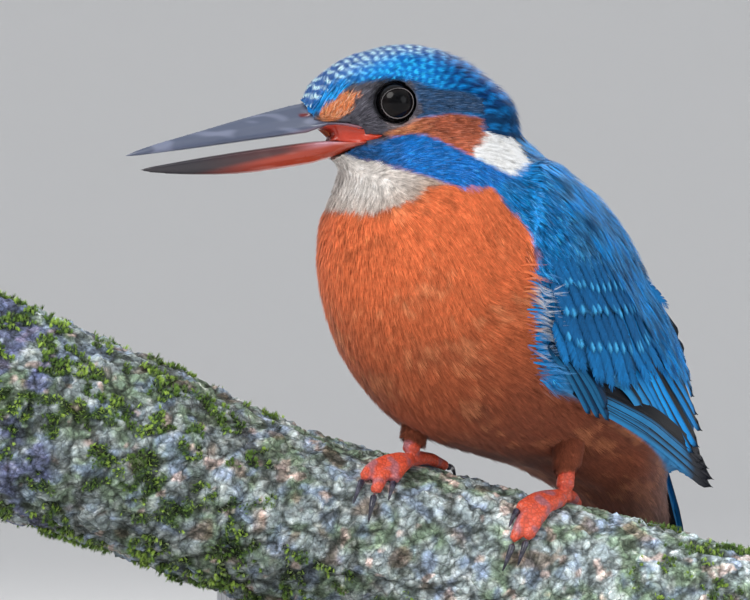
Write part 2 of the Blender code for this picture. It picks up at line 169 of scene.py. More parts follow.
def add_bowl():
    """A round floor whose rim curves up into a wall."""
    reach, bend, height = 5.0, 2.0, 4.5
    line = [(0.0, 0.0), (1.0, 0.0), (reach - bend, 0.0)]
    line += [(reach - bend + bend * math.sin(a), bend - bend * math.cos(a))
             for a in np.linspace(0.1, math.pi / 2, 14)]
    bowl = object_from("bowl", spun(line + [(reach, height)], 64, 1e-5))
    bowl.data.materials.append(matt("grey ground", plain_colour(226, 224, 223), 0.9))


def add_light(name, place, aim, size, watts, tint=(1, 1, 1)):
    lamp = bpy.data.lights.new(name, "AREA")
    lamp.shape = "DISK"
    lamp.size, lamp.energy, lamp.color = size, watts, tint
    made = add_object(name, lamp)
    made.location = place
    made.rotation_euler = (Vector(aim) - Vector(place)).to_track_quat("-Z", "Y").to_euler()
    made.visible_camera = False


MIDDLE = Vector((-0.005, 0, 0.104))
FRAME_WIDTH, CAMERA_AWAY, SENSOR = 0.150, 2.0, 36


def add_camera():
    lens = bpy.data.cameras.new("camera")
    lens.sensor_width = SENSOR
    lens.lens = SENSOR * CAMERA_AWAY / FRAME_WIDTH
    lens.clip_start, lens.clip_end = 0.05, 20
    made = add_object("camera", lens)
    made.location = MIDDLE + Vector((0, -CAMERA_AWAY, 0))
    made.rotation_euler = (math.pi / 2, 0, 0)
    bpy.context.scene.camera = made


def add_studio():
    world = bpy.data.worlds.new("soft sky")
    world.use_nodes = True
    world.node_tree.nodes["Background"].inputs[0].default_value = (0.9, 0.95, 1.0, 1)
    world.node_tree.nodes["Background"].inputs[1].default_value = 0.85
    bpy.context.scene.world = world
    bpy.context.scene.view_settings.view_transform = "Standard"
    add_bowl()
    add_light("window", (-0.75, -0.9, 1.15), MIDDLE, 1.0, 19, (1, 0.985, 0.96))
    add_light("fill", (1.1, -0.9, 0.5), MIDDLE, 0.9, 3.5, (0.93, 0.97, 1))
    add_light("rim", (0.5, 0.9, 0.9), MIDDLE, 0.6, 6)


add_studio()
add_camera()
print("lens", round(bpy.context.scene.camera.data.lens), "mm")

# %% [markdown]
# Under the feathers lies one skin. Head, neck, trunk, wings and tail are separate solids with thin
# gaps, so we swell copies of them until the gaps close, melt them into one surface with a voxel
# remesh, smooth away the steps and then draw the surface in by the depth of the coat.

# %% Melting solids together
SWELL, VOXEL = 0.25, 0.7
FLESH_NODES = ["head", "neck", "trunk"]
WING_NODES = [f"wing_{side}_{part}" for side in ("left", "right")
              for part in ("coverts", "secondaries", "primaries")]
TAIL_NODES = ["tail"]


def swollen_copy(nodes, swell):
    bm = bmesh.new()
    for node in nodes:
        one = bmesh.new()
        one.from_mesh(NODES[node].data)
        bmesh.ops.remove_doubles(one, verts=one.verts, dist=1e-6)
        one.normal_update()
        for v, place in [(v, v.co + v.normal * swell * MM) for v in one.verts]:
            v.co = place
        mesh = bpy.data.meshes.new("swollen")
        one.to_mesh(mesh)
        one.free()
        bm.from_mesh(mesh)
        bpy.data.meshes.remove(mesh)
    return bm


def settle(obj):
    """Applies an object's modifiers."""
    bpy.context.view_layer.update()
    mesh = bpy.data.meshes.new_from_object(obj.evaluated_get(bpy.context.evaluated_depsgraph_get()))
    obj.modifiers.clear()
    obj.data = mesh


def melted(name, bm, voxel, softening):
    """One closed and smooth surface from overlapping solids."""
    made = object_from(name, bm)
    blend = made.modifiers.new("blend", "REMESH")
    blend.mode = "VOXEL"
    blend.voxel_size = voxel * MM
    soften = made.modifiers.new("soften", "SMOOTH")
    soften.iterations = softening
    settle(made)
    made.data.shade_smooth()
    return made


def array_of(items, attribute, width):
    flat = np.empty(len(items) * width, np.float32)
    items.foreach_get(attribute, flat)
    return flat.reshape(-1, width).astype(float)


print("solids under the skin:", len(FLESH_NODES + WING_NODES + TAIL_NODES))


# %% How deep the coat is
def tree_of(nodes):
    bm = swollen_copy(nodes, 0)
    tree = BVHTree.FromBMesh(bm)
    bm.free()
    return tree


def gap_to(tree, points):
    """How far each world point is from a surface, in millimetres."""
    return np.array([tree.find_nearest(p)[3] for p in points]) / MM


def eased(values, low, high):
    """0 below low, 1 above high and a smooth ramp between them."""
    share = np.clip((values - low) / (high - low), 0, 1)
    return share * share * (3 - 2 * share)


def mixed(first, second, share):
    """A share of the way from one value to another."""
    return first + (second - first) * share


BODY_DEPTH, HEAD_DEPTH, FACE_DEPTH, PLATE_DEPTH = 0.9, 0.55, 0.25, 0.45


def coat_depth(points):
    """How deep the coat is: least round the bill, most on the breast and belly."""
    forward = inside(points, HEAD)[:, 0]
    away_from_head = np.linalg.norm(inside(points, HEAD) + (4, 0, 2), axis=1)
    head = mixed(HEAD_DEPTH, FACE_DEPTH, eased(forward, 2, 12))
    depth = mixed(head, BODY_DEPTH, eased(away_from_head, 17, 26))
    plates = 1 - eased(gap_to(tree_of(WING_NODES + TAIL_NODES), points), 0.6, 2.5)
    return mixed(depth, PLATE_DEPTH, plates)


print("depths of the coat in mm:", BODY_DEPTH, HEAD_DEPTH, FACE_DEPTH, PLATE_DEPTH)


# %% The opening at the mouth
# What of the head's side, as (forward, up) from between the eyes, is bill and mouth.
MOUTH = ((24, 6), (18.2, 3.6), (17.2, 1.6), (16.2, 0.2), (14.5, -0.5), (10.2, -1.6), (8.4, -2.7),
         (6.6, -3.9), (2.4, -5.9), (2.4, -6.5), (7.6, -7.3), (11.6, -7.9), (15.1, -8.5), (24, -9))


def inward(points, outline):
    """How far each flat point lies inside a closed outline, in millimetres: negative outside it."""
    corners = np.array(outline, float)
    nexts = np.roll(corners, -1, axis=0)
    nearest = np.full(len(points), np.inf)
    crossings = np.zeros(len(points), int)
    for a, b in zip(corners, nexts):
        side = b - a
        share = np.clip(((points - a) @ side) / (side @ side), 0, 1)
        nearest = np.minimum(nearest, np.linalg.norm(points - a - share[:, None] * side, axis=1))
        spans = (a[1] > points[:, 1]) != (b[1] > points[:, 1])
        rise = side[1] if side[1] else 1e-9
        crossings += spans & (points[:, 0] < a[0] + (points[:, 1] - a[1]) * side[0] / rise)
    return np.where(crossings % 2 == 1, nearest, -nearest)


UNDER_HORN, NARROWED, SNOUT_FROM, SNOUT_BACK = 1.4, 0.35, 11, 0.85


def opened_at_mouth(points):
    """The skin drawn back under horn and lining wherever the bill and the mouth show."""
    tree = tree_of(["bill_upper", "bill_lower", "gape"])
    share = eased(inward(side_view(points, HEAD), MOUTH), -0.2, 0.7)
    for i in np.nonzero(share > 0)[0]:
        place, normal, _, _ = tree.find_nearest(points[i])
        points[i] = mixed(points[i], np.array(place - UNDER_HORN * MM * normal), share[i])
    local = inside(points, HEAD)
    x, y, z = local.T
    y *= 1 - NARROWED * share
    between_halves = (1 - eased(z, -1.8, -0.8)) * eased(z, -7, -6)
    x -= SNOUT_BACK * (x - SNOUT_FROM).clip(0) * between_halves
    return outside(local, HEAD)


print("outline of the mouth:", len(MOUTH), "corners")


# %% The skin
skin = melted("skin", swollen_copy(FLESH_NODES + WING_NODES + TAIL_NODES, SWELL), VOXEL, 4)
skin_places = array_of(skin.data.vertices, "co", 3)
drawn_in = (SWELL + coat_depth(skin_places))[:, None] * MM
skin_places = opened_at_mouth(skin_places - array_of(skin.data.vertices, "normal", 3) * drawn_in)
skin.data.vertices.foreach_set("co", skin_places.ravel())
skin.data.update()
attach(skin, "root")
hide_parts(*FLESH_NODES, *WING_NODES, *TAIL_NODES)
print("skin:", len(skin_places), "vertices")

# %% [markdown]
# A kingfisher's coat is a few clear fields of colour. Each field is an outline in side view, soft at
# its border. The head's fields turn with the head and the body's with the body. The same rule paints
# the skin, the fine coat and the feathers, so that nothing shows through in a wrong colour.

# %% Fields of colour
PAINT = palette({
    "orange": (228, 118, 72), "rust": (128, 70, 50), "ear orange": (184, 100, 72),
    "pale orange": (236, 152, 104), "white": (255, 254, 251), "cream": (196, 172, 156),
    "malar blue": (26, 120, 206), "shoulder blue": (26, 138, 212), "mantle blue": (62, 146, 206),
    "azure": (10, 156, 240), "crown base": (20, 88, 156), "nape": (22, 66, 112),
    "streak": (52, 84, 122), "lores": (92, 90, 100), "dark": (22, 24, 30), "bristle": (176, 160, 160),
    "wing teal": (20, 92, 148), "wing web": (24, 126, 196), "spot": (84, 196, 255),
    "quill blue": (40, 136, 196), "quill dark": (14, 18, 26), "tip dark": (36, 38, 46),
})

# Head fields as outlines of (forward, up) from between the eyes.
EAR_ORANGE = ((3.4, -5.4), (-1.5, -4.6), (-4.4, -3.9), (-9.2, -4.0), (-15.6, -6.1), (-15.6, -9.4),
              (-12.4, -12.4), (-9.1, -10.9), (-5.5, -8.0), (-0.8, -6.5), (3.2, -6.4))
WHITE_PATCH = ((-12.6, -9.4), (-15.8, -9.2), (-22.9, -11.8), (-27.5, -15.6), (-27.5, -18.6),
               (-22.4, -18.6), (-18.1, -18.2), (-11.8, -13.2))
MALAR = ((12, -7.4), (2.8, -6.3), (-3.3, -6.6), (-5.9, -8.7), (-9.1, -11.3), (-12.7, -14.1),
         (-20, -19), (-20, -22), (-12.8, -19.6), (-7.6, -18.8), (-2.0, -15.6), (3.5, -12.7),
         (7.8, -9.9), (11.0, -8.2))
THROAT = ((20, -5.5), (11, -7.8), (7.8, -9.9), (3.5, -12.7), (-2, -15.6), (-7.6, -18.8),
          (-12.8, -19.6), (-14, -34), (24, -34))
LORAL_SPOT = ((15.4, -0.4), (13.6, 1.6), (11.0, 2.9), (8.4, 3.2), (7.9, 2.2), (9.8, -0.3), (13.2, -1.6))
LORES = ((15.6, 0.8), (13.6, 0.8), (8.4, 4.9), (3.0, 4.8), (-3.6, 3.4), (-4.4, -3.2), (-1.0, -4.6),
         (2.6, -5.6), (3.2, -7.2), (9.0, -7.4), (16, -3), (18, -1))
BRISTLES = ((2.8, -3.4), (-2.8, -3.4), (-3.4, -4.3), (0, -5.0), (3.0, -4.7))
EYE_STREAK = ((2, 4.8), (-1, 4.4), (-4, 3.4), (-7.3, 1.2), (-13.1, -0.4), (-16.4, -2.4), (-16.6, -5.6),
              (-9.2, -3.8), (-4.0, -3.6), (0, -4.4))
CROWN = ((22, -1), (17.4, 0.6), (15.4, 2.0), (13.2, 3.8), (10, 5.0), (3, 4.9), (-1, 4.4), (-4, 3.4),
         (-7.3, 1.2), (-13.1, -0.4), (-16.4, -2.4), (-15.8, -5.6), (-16.0, -9.2), (-22.9, -11.8),
         (-28, -15.6), (-34, -15), (-34, 20), (22, 20))
NAPE_SHADE = ((-17, 1), (-15.8, -5.6), (-16.0, -9.2), (-22.9, -11.8), (-28, -15.6), (-30, -8),
              (-22, -2))
HEAD_FIELDS = (("nape", NAPE_SHADE), ("streak", EYE_STREAK), ("malar blue", MALAR),
               ("white", WHITE_PATCH), ("ear orange", EAR_ORANGE), ("lores", LORES),
               ("pale orange", LORAL_SPOT))
# Where the orange of the breast ends, as (forward, up) from the body's middle, and how high it
# reaches round the neck, as (degrees to the left of forward, up): the neck is turned.
ORANGE = ((18, 40), (16.6, 27), (14.8, 23.4), (12.8, 20.4), (10.6, 17), (10.2, 13), (9.6, 4),
          (7.4, -6), (3.2, -13), (-13, -18.6), (-28, -24.4), (-40, -30.4), (-44, -36),
          (-46.4, -45), (-47.5, -60), (60, -60), (60, 40))
NECK_AXIS = 8.0
ORANGE_TOP = ((-90, 31), (-62, 26.5), (-42, 22.4), (12, 21.4), (27, 23.4), (37, 26.4), (46, 27),
              (90, 27))


print("paints of the coat:", len(PAINT))


# %% The rule that paints the coat
BORDER = 0.35


def all_over(points, colour):
    return np.tile(colour, (len(points), 1))


def painted(colours, colour, share):
    """Colours with a share of another laid over them."""
    return mixed(colours, colour, share[:, None])


def layered(colours, *layers):
    """Colours under layers of (colour, share), laid one after another."""
    for colour, share in layers:
        colours = painted(colours, colour, share)
    return colours


def orange_top(body):
    """How high the orange reaches round the neck, at places local to the body."""
    angle = np.degrees(np.arctan2(body[:, 1], body[:, 0] - NECK_AXIS))
    return np.interp(angle, *zip(*ORANGE_TOP))


def smooth_noise(points, size, shift=0.0):
    """Noise of about -1 to 1 over world points, with blobs of a size in millimetres."""
    scaled = points / (size * MM) + shift
    return np.array([noise.noise(p) for p in scaled]) * 1.6


def coat_colour(points):
    """The coat's colour at world points."""
    head, body = inside(points, HEAD), inside(points, BODY)
    on_head = eased(head[:, 2] + 0.35 * head[:, 0], -26, -24)
    wide, fine = smooth_noise(points, 9), smooth_noise(points, 2.2, 40)

    def field(local, outline):
        return eased(inward(local[:, (0, 2)], outline), -BORDER, BORDER)

    # Rust towards the belly and the rear: partly the belly's duller colour, partly painted shade under
    # the body.
    low = 0.95 * eased(-body[:, 2], -14, 20) * (0.68 + 0.32 * eased(-body[:, 0], -24, -4))
    orange = layered(all_over(points, PAINT["orange"]),
                     (PAINT["rust"], np.clip(low + 0.22 * eased(wide, 0, 0.7), 0, 1)),
                     (PAINT["pale orange"], 0.55 * eased(fine + wide, 0.3, 1.2) * (1 - 0.5 * low)),
                     (PAINT["bristle"] * 0.5, 0.6 * eased(-body[:, 0], 26, 42)))
    crown = painted(all_over(points, PAINT["crown base"]), PAINT["azure"], 0.25 + 0.2 * fine)
    top = orange_top(body)
    throat = painted(all_over(points, PAINT["white"]), PAINT["cream"],
                     0.3 + 0.35 * eased(-head[:, 0], -10, 2) + 0.35 * eased(top - body[:, 2], -5, 0))
    back_line = (1 - eased(np.abs(body[:, 1]), 4, 7)) * (1 - on_head)
    sides = eased(np.abs(head[:, 1]), 2.0, 3.5)
    cheeks = sides * on_head
    colours = layered(
        all_over(points, PAINT["mantle blue"]),
        (PAINT["shoulder blue"], eased(body[:, 0], -2, 6)),
        (PAINT["azure"], 0.85 * back_line),
        (PAINT["wing teal"], 0.5 * eased(-fine, 0.1, 0.6) * (1 - back_line)),
        (orange, field(body, ORANGE)),
        (crown, field(head, CROWN) * on_head),
        (throat, field(head, THROAT) * eased(body[:, 2] - top, -0.6, 0.6)),
        *((PAINT[name], field(head, outline) * cheeks) for name, outline in HEAD_FIELDS),
        (PAINT["pale orange"], 0.75 * field(head, EAR_ORANGE) * cheeks * eased(head[:, 0], -7, 1)),
        (PAINT["streak"] * 0.6,
         0.7 * field(head, MALAR) * cheeks * eased(head[:, 0] + 2 * fine, 0, 8)),
        (PAINT["bristle"], 0.6 * field(head, BRISTLES) * cheeks))
    mottled = 1 + 0.32 * smooth_noise(points, 1.0, 70) * cheeks
    # Painted shadow of the brow: darker in front of and above each eye.
    shade = 1 - eased(np.hypot(head[:, 0] - 1.2, head[:, 2] - 0.8), 3.5, 5.0)
    shade = 0.6 * shade * eased(head[:, 2], -3.2, -1.5) * sides
    return painted(colours * mottled[:, None], PAINT["dark"], shade)


def add_colours(mesh, colours, name="Coat"):
    layer = mesh.color_attributes.new(name, "FLOAT_COLOR", "POINT")
    rgba = np.ones((len(mesh.vertices), 4), np.float32)
    rgba[:, :3] = np.clip(colours, 0, 1)
    layer.data.foreach_set("color", rgba.ravel())


add_colours(skin.data, coat_colour(skin_places) * 0.8)
print("painted the skin in", len(PAINT), "paints")

# %% [markdown]
# Feathers lie the way the wind would comb them: back over the head, down the breast, back along the
# flanks. We note the lie at a few places and blend between them. A feather then starts on the skin,
# follows that lie step by step, and is pressed back to the skin's surface at every step.

# %% The lie of the coat
LIE_ON_HEAD = (  # place and lie, as (forward, to the side, up)
    ((15, 0, 6), (-0.75, 0, 0.65)), ((4, 0, 12), (-1, 0, 0.1)), ((-10, 0, 10), (-0.9, 0, -0.4)),
    ((-20, 0, 2), (-0.6, 0, -0.8)), ((-24, 0, -10), (-0.45, 0, -0.9)),
    ((11, 6, 2), (-0.7, 0.1, 0.6)), ((4, 9, 5), (-0.9, 0, 0.35)), ((-8, 11, 4), (-0.97, 0, -0.15)),
    ((0, 10, -5), (-1, 0, 0.05)), ((-10, 11, -6), (-1, 0, -0.25)), ((6, 8, -9), (-1, 0, -0.15)),
    ((-6, 12, -13), (-0.93, 0, -0.35)), ((12, 0, -8), (-0.85, 0, -0.5)),
    ((2, 0, -14), (-0.55, 0, -0.85)), ((-6, 8, -19), (-0.45, 0.1, -0.9)),
    ((-20, 8, -14), (-0.95, 0.1, -0.35)),
)
LIE_ON_BODY = (
    ((30, 0, 24), (0.05, 0, -1)), ((18, 20, 22), (-0.35, 0.2, -0.9)), ((36, 0, 5), (-0.05, 0, -1)),
    ((26, 20, 5), (-0.3, 0.2, -0.95)), ((12, 20, 20), (-0.6, 0.3, -0.75)),
    ((15, 26, 2), (-0.9, 0.2, -0.3)), ((10, 25, -8), (-0.9, 0.1, -0.4)),
    ((22, 0, -18), (-0.55, 0, -0.85)), ((10, 18, -20), (-0.75, 0, -0.65)),
    ((-25, 0, -38), (-0.65, 0, -0.75)), ((-20, 14, -28), (-0.8, 0, -0.55)),
    ((-42, 0, -50), (-0.3, 0, -0.95)), ((-5, 0, 34), (-0.8, 0, -0.6)),
    ((-25, 0, 18), (-0.7, 0, -0.7)), ((-40, 0, -5), (-0.45, 0, -0.9)),
    ((6, 25, 10), (-0.6, 0, -0.8)), ((-10, 24, 0), (-0.5, 0, -0.87)),
    ((-15, 12, 24), (-0.8, 0.15, -0.6)),
)


def both_sides(notes, axes):
    """World places and directions of notes made on the midline and the left, mirrored to the right."""
    found = []
    for place, lie in notes:
        for sign in ((1, -1) if place[1] else (1,)):
            flip = np.array((1, sign, 1))
            found.append((outside(place * flip, axes), turned(lie * flip, axes)))
    return found


LIE_NOTES = both_sides(LIE_ON_HEAD, HEAD) + both_sides(LIE_ON_BODY, BODY)
LIE_PLACES = np.array([place for place, way in LIE_NOTES])
LIE_WAYS = np.array([way for place, way in LIE_NOTES])


def unit(vectors):
    return vectors / np.maximum(np.linalg.norm(vectors, axis=-1, keepdims=True), 1e-12)


def along_surface(ways, normals):
    return unit(ways - normals * np.sum(ways * normals, axis=1, keepdims=True))


def lie_at(points, normals):
    """The lie of the coat at world points, along the surface."""
    away = np.linalg.norm(points[:, None] - LIE_PLACES[None], axis=2)
    weight = 1 / np.maximum(away, 0.5 * MM) ** 4
    return along_surface(weight @ LIE_WAYS, normals)


print("lie noted at", len(LIE_PLACES), "places")


# %% A surface to grow from
TRIES, FACE_NORMAL_REACH = 6, 1e-6


class Surface:
    """A mesh that feathers grow from and are pressed back to."""

    def __init__(self, mesh):
        mesh.calc_loop_triangles()
        self.corners = np.empty(len(mesh.loop_triangles) * 3, np.int32)
        mesh.loop_triangles.foreach_get("vertices", self.corners)
        self.corners = self.corners.reshape(-1, 3)
        self.places = array_of(mesh.vertices, "co", 3)
        self.normals = array_of(mesh.vertices, "normal", 3)
        self.tree = BVHTree.FromPolygons(self.places.tolist(), self.corners.tolist())

    def scattered(self, spacing, wanted):
        """Places about a spacing apart, in millimetres, where wanted(points) says so."""
        a, b, c = (self.places[self.corners[:, k]] for k in range(3))
        area = np.linalg.norm(np.cross(b - a, c - a), axis=1) / 2 * wanted((a + b + c) / 3)
        count = int(TRIES * area.sum() / (spacing * MM) ** 2)
        chosen = rng.choice(len(area), count, p=area / area.sum())
        mix = rng.dirichlet((1, 1, 1), count)[:, :, None]
        places = (self.places[self.corners[chosen]] * mix).sum(1)
        normals = unit((self.normals[self.corners[chosen]] * mix).sum(1))
        cells = np.floor(places / (spacing * MM)).astype(np.int64)
        keys = (cells[:, 0] * 73856093) ^ (cells[:, 1] * 19349663) ^ (cells[:, 2] * 83492791)
        first = np.unique(keys, return_index=True)[1]
        return places[first], normals[first]

    def pressed(self, places):
        """The nearest places on the surface, with the normals there."""
        found = [self.tree.find_nearest(p) for p in places]
        spots = np.array([f[0] for f in found])
        corners = self.corners[[f[2] for f in found]]
        reach = np.linalg.norm(self.places[corners] - spots[:, None], axis=2)
        weight = 1 / np.maximum(reach, FACE_NORMAL_REACH)
        normals = (self.normals[corners] * weight[:, :, None]).sum(1)
        return spots, unit(normals)


SKIN = Surface(skin.data)
print("the skin has", len(SKIN.corners), "triangles to grow from")

# %% [markdown]
# A small body feather is a tuft of barbs, and a bigger one is a vane on a shaft. We draw each shape
# once, flat, as share of its length, share of its half width and height. Thousands of copies are
# then bent over the skin and joined into a few meshes, with thin strips for barbs.

# %% Shapes of a tuft and of a vane
class Shape:
    """A flat feather: points (share of length, share of half width, height), faces, map and barbs."""

    def __init__(self):
        self.points, self.faces, self.patch, self.barbs = [], [], [], []

    def strip(self, rows):
        """A strip of faces through rows of points, which ends in a single point or a last row."""
        start = len(self.points)
        number = self.barbs[-1] + 1 if self.barbs else 0
        self.barbs += [number] * sum(len(row) for row in rows)
        for k, row in enumerate(rows):
            for j, point in enumerate(row):
                self.points.append(point)
                self.patch.append((j / max(1, len(row) - 1) if len(row) > 1 else 0.5, point[0]))
        for k in range(len(rows) - 1):
            here, after = len(rows[k]), len(rows[k + 1])
            for j in range(here - 1):
                beyond = [start + here + j, start + here + j + 1] if after > 1 else [start + here]
                self.faces.append((start + j, *beyond, start + j + 1))
            start += here

    def arrays(self):
        """Points, faces, places on the map, and the number of each point's barb."""
        points, patch = np.array(self.points, float), np.array(self.patch, float)
        return points, self.faces, patch, np.array(self.barbs)


def tuft_shape(barbs, steps=3, thick=0.11, seed=1):
    """Barbs that fan out from one root, the outer ones shorter."""
    own = np.random.default_rng(seed)
    shape = Shape()
    for k in range(barbs):
        side = 2 * (k + 0.5) / barbs - 1 + own.uniform(-0.12, 0.12)
        reach = 1 - 0.3 * side * side - own.uniform(0, 0.12)
        lift = own.uniform(-0.12, 0.12)
        rows = []
        for j in range(steps):
            share = j / steps
            middle = side * (0.3 + 0.7 * share)
            half = thick * (1 - 0.55 * share)
            place, rise = reach * share, lift * share
            rows.append([(place, middle - half, rise), (place, middle + half, rise)])
        rows.append([(reach, side * 1.03, lift)])
        shape.strip(rows)
    return shape.arrays()


def vane_shape(barbs, round_from=0.55, slant=0.16, notch=0.0, seed=2):
    """Close barbs on both sides of a shaft, under a rounded outline."""
    own = np.random.default_rng(seed)
    shape = Shape()
    pitch = 0.92 / barbs

    def outline(share):
        rise = min(1.0, math.sqrt(max(share, 0.02) / 0.3))
        over = max(0.0, (share - round_from) / (1.02 - round_from))
        return rise * math.sqrt(max(0.0, 1 - over * over))

    for side in (1, -1):
        for k in range(barbs):
            low = 0.02 + k * pitch
            high = low + pitch * 1.1
            tip = low + slant + own.uniform(-notch, notch)
            out = max(outline(min(tip, 1.0)), 0.12)
            bent, half, end = slant * 0.45, 0.5 * out * side, min(tip + pitch * 0.8, 1.02)
            rows = [[(low, 0, 0.1), (high, 0, 0.1)],
                    [(low + bent, half, 0.05), (high + bent, half, 0.05)],
                    [(min(tip, 1.0), out * side, -0.05), (end, out * side * 0.94, -0.05)]]
            if side > 0:
                rows = [row[::-1] for row in rows]
            shape.strip(rows)
    return shape.arrays()


def web_shape(rows, outer=1.0, inner=1.0, round_from=0.8):
    """A close-knit vane as one sheet with a raised shaft, for the long feathers."""
    across = [-1, -0.62, -0.28, -0.06, 0, 0.06, 0.28, 0.64, 0.82, 1]
    shape = Shape()
    lines = []
    for k in range(rows + 1):
        share = 1 - (1 - k / rows) ** 1.25
        over = max(0.0, (share - round_from) / (1 - round_from))
        width = min(1.0, math.sqrt(max(share, 0.004) / 0.1)) * math.sqrt(max(0.0, 1 - over ** 2.4))
        lines.append([(share - 0.012 * abs(w) * (share > 0.3),
                       w * max(width, 0.1) * (inner if w < 0 else outer),
                       0.16 if w == 0 else 0.1 * (1 - w * w) - 0.1) for w in across])
    shape.strip(lines)
    return shape.arrays()


for name, made in (("tuft", tuft_shape(5)), ("vane", vane_shape(8)), ("web", web_shape(12))):
    print(name, "points", len(made[0]), "faces", len(made[1]))

# %% [markdown]
# Each coat piece keeps a second map, where every feather is a tiny square at its root's place. The
# roots are unwrapped by their direction from the middle of the form they stand on, as a globe is.

# %% Laying feathers
PATCH = 0.003


def globe(places, axes, middle):
    """Places unwrapped by longitude and latitude round a middle given in local millimetres."""
    local = inside(places, axes) - middle
    longitude = np.arctan2(local[:, 1], local[:, 0]) / (2 * math.pi) + 0.5
    latitude = np.arcsin(np.clip(unit(local)[:, 2], -1, 1)) / math.pi + 0.5
    return np.stack([longitude, latitude], axis=1)


def fitted(flat):
    low, high = flat.min(0), flat.max(0)
    return 0.01 + (flat - low) / np.maximum(high - low, 1e-9) * (0.98 - PATCH)


def stations_along(surface, roots, normals, ways, lengths, steps, follow):
    """Feather lines over a surface: places, normals and ways at each step."""
    line, ups, heads = [roots], [normals], [ways]
    for _ in range(steps):
        spot, up = surface.pressed(line[-1] + heads[-1] * (lengths * MM / steps)[:, None])
        lie = lie_at(spot, up) if follow else heads[-1]
        heads.append(along_surface(heads[-1] * (1 - follow) + lie * follow, up))
        line.append(spot)
        ups.append(up)
    return np.stack(line, 1), np.stack(ups, 1), np.stack(heads, 1)


def mixed_at(table, share):
    """Values of a per-feather table of stations at shares of the length, one column a share."""
    last = table.shape[1] - 1
    at = np.clip(share, 0, 1) * last
    low = np.minimum(at.astype(int), last - 1)
    part = (at - low)[None, :, None]
    return table[:, low] * (1 - part) + table[:, low + 1] * part


def laid(shape, line, ups, heads, lengths, widths, lifts, sink=0.12, over=0.0):
    """Copies of a flat shape bent over their lines: world points and soft normals."""
    points = shape[0]
    share, side, height = points.T
    middle, up, ahead = (mixed_at(table, share) for table in (line, ups, heads))
    past = (share - 1).clip(0)[None, :, None] * ahead * lengths[:, None, None] * MM
    across = np.cross(up, ahead)
    rise = np.interp(share, (0, 0.25, 0.6, 1), (0, 0.3, 0.7, 1))
    raised = over + lifts[:, None] * rise - sink * (share < 0.1)
    raised = raised + height[None] * np.minimum(widths, 1.2)[:, None]
    places = middle + past + across * (side[None] * widths[:, None])[:, :, None] * MM
    places += up * raised[:, :, None] * MM
    return places, up, across


print("patch of the small-square map:", PATCH)


# %% Joining feathers into a mesh
def faces_out(places, normals, face):
    """Whether a face of the flat shape looks outwards on most of its copies."""
    corners = places[:, list(face)]
    looks = np.cross(corners[:, 1] - corners[:, 0], corners[:, 2] - corners[:, 0])
    return np.sum(looks * normals[:, list(face)].mean(1)) >= 0


def joined(name, shape, places, normals, colours, spots, material, soft=0.7, vane=None):
    """One mesh of many feathers, with their colours, soft normals and the small-square map."""
    count, per = places.shape[:2]
    faces = [face if faces_out(places, normals, face) else face[::-1] for face in shape[1]]
    starts = np.cumsum([0] + [len(f) for f in faces])
    loops_each = starts[-1]
    corner = np.concatenate([np.array(f) for f in faces])
    mesh = bpy.data.meshes.new(name)
    mesh.vertices.add(count * per)
    mesh.vertices.foreach_set("co", places.reshape(-1).astype(np.float32))
    mesh.loops.add(count * loops_each)
    corners = (corner[None] + per * np.arange(count)[:, None]).ravel().astype(np.int32)
    mesh.loops.foreach_set("vertex_index", corners)
    mesh.polygons.add(count * len(faces))
    begins = (starts[:-1][None] + loops_each * np.arange(count)[:, None]).ravel().astype(np.int32)
    mesh.polygons.foreach_set("loop_start", begins)
    mesh.update(calc_edges=True)
    patch = np.clip(shape[2], 0, 1)[corner] * PATCH
    squares = (fitted(spots)[:, None] + patch[None]).reshape(-1).astype(np.float32)
    mesh.uv_layers.new(name="OFBake").data.foreach_set("uv", squares)
    if vane is not None:
        webs = np.tile(vane[corner][None], (count, 1, 1)).astype(np.float32)
        webs[:, :, 1] += (np.arange(count) * 7.31 % 50)[:, None]
        mesh.uv_layers.new(name="Vane").data.foreach_set("uv", webs.reshape(-1))
    add_colours(mesh, colours.reshape(-1, 3))
    mesh.shade_smooth()
    if soft:
        own = array_of(mesh.vertices, "normal", 3)
        outward = normals.reshape(-1, 3)
        own *= np.sign(np.sum(own * outward, axis=1, keepdims=True))
        mesh.normals_split_custom_set_from_vertices(unit(own * (1 - soft) + outward * soft))
    made = add_object(name, mesh)
    made.data.materials.append(material)
    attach(made, "root")
    TALLY[name] = count * sum(len(f) - 2 for f in faces)
    print(f"{name}: {count} feathers, {TALLY[name]} triangles")


TALLY = {}
print("each feather has a square of", PATCH, "of the map")

# %% [markdown]
# Two finishes serve the coat. Plumes are soft and nearly without shine. The blues come from the fine
# structure of the barbs and not from a dye, so they carry a cool gleam. Both take their colour from
# the painted attribute, and a shared group adds the fine streaks that barbs make.

# %% Making nodes
def group_of(name, inputs, outputs):
    """A shader node group with its sockets, and its two end nodes."""
    tree = bpy.data.node_groups.new(name, "ShaderNodeTree")
    for way, sockets in (("INPUT", inputs), ("OUTPUT", outputs)):
        for socket, kind in sockets:
            tree.interface.new_socket(socket, in_out=way, socket_type="NodeSocket" + kind)
    return tree, tree.nodes.new("NodeGroupInput"), tree.nodes.new("NodeGroupOutput")


def node_in(tree, kind, inputs=None, **settings):
    """A shader node, with its settings, and its inputs as values or links from other sockets."""
    node = tree.nodes.new("ShaderNode" + kind)
    for name, value in settings.items():
        setattr(node, name, value)
    for name, value in (inputs or {}).items():
        if isinstance(value, bpy.types.NodeSocket):
            tree.links.new(value, node.inputs[name])
        else:
            node.inputs[name].default_value = value
    return node


def mixed_colour(tree, kind, factor, first, second):
    node = node_in(tree, "Mix", {0: factor, 6: first, 7: second}, data_type="RGBA", blend_type=kind)
    return node.outputs[2]


def maths(tree, operation, first, second=0.0):
    return node_in(tree, "Math", {0: first, 1: second}, operation=operation).outputs[0]


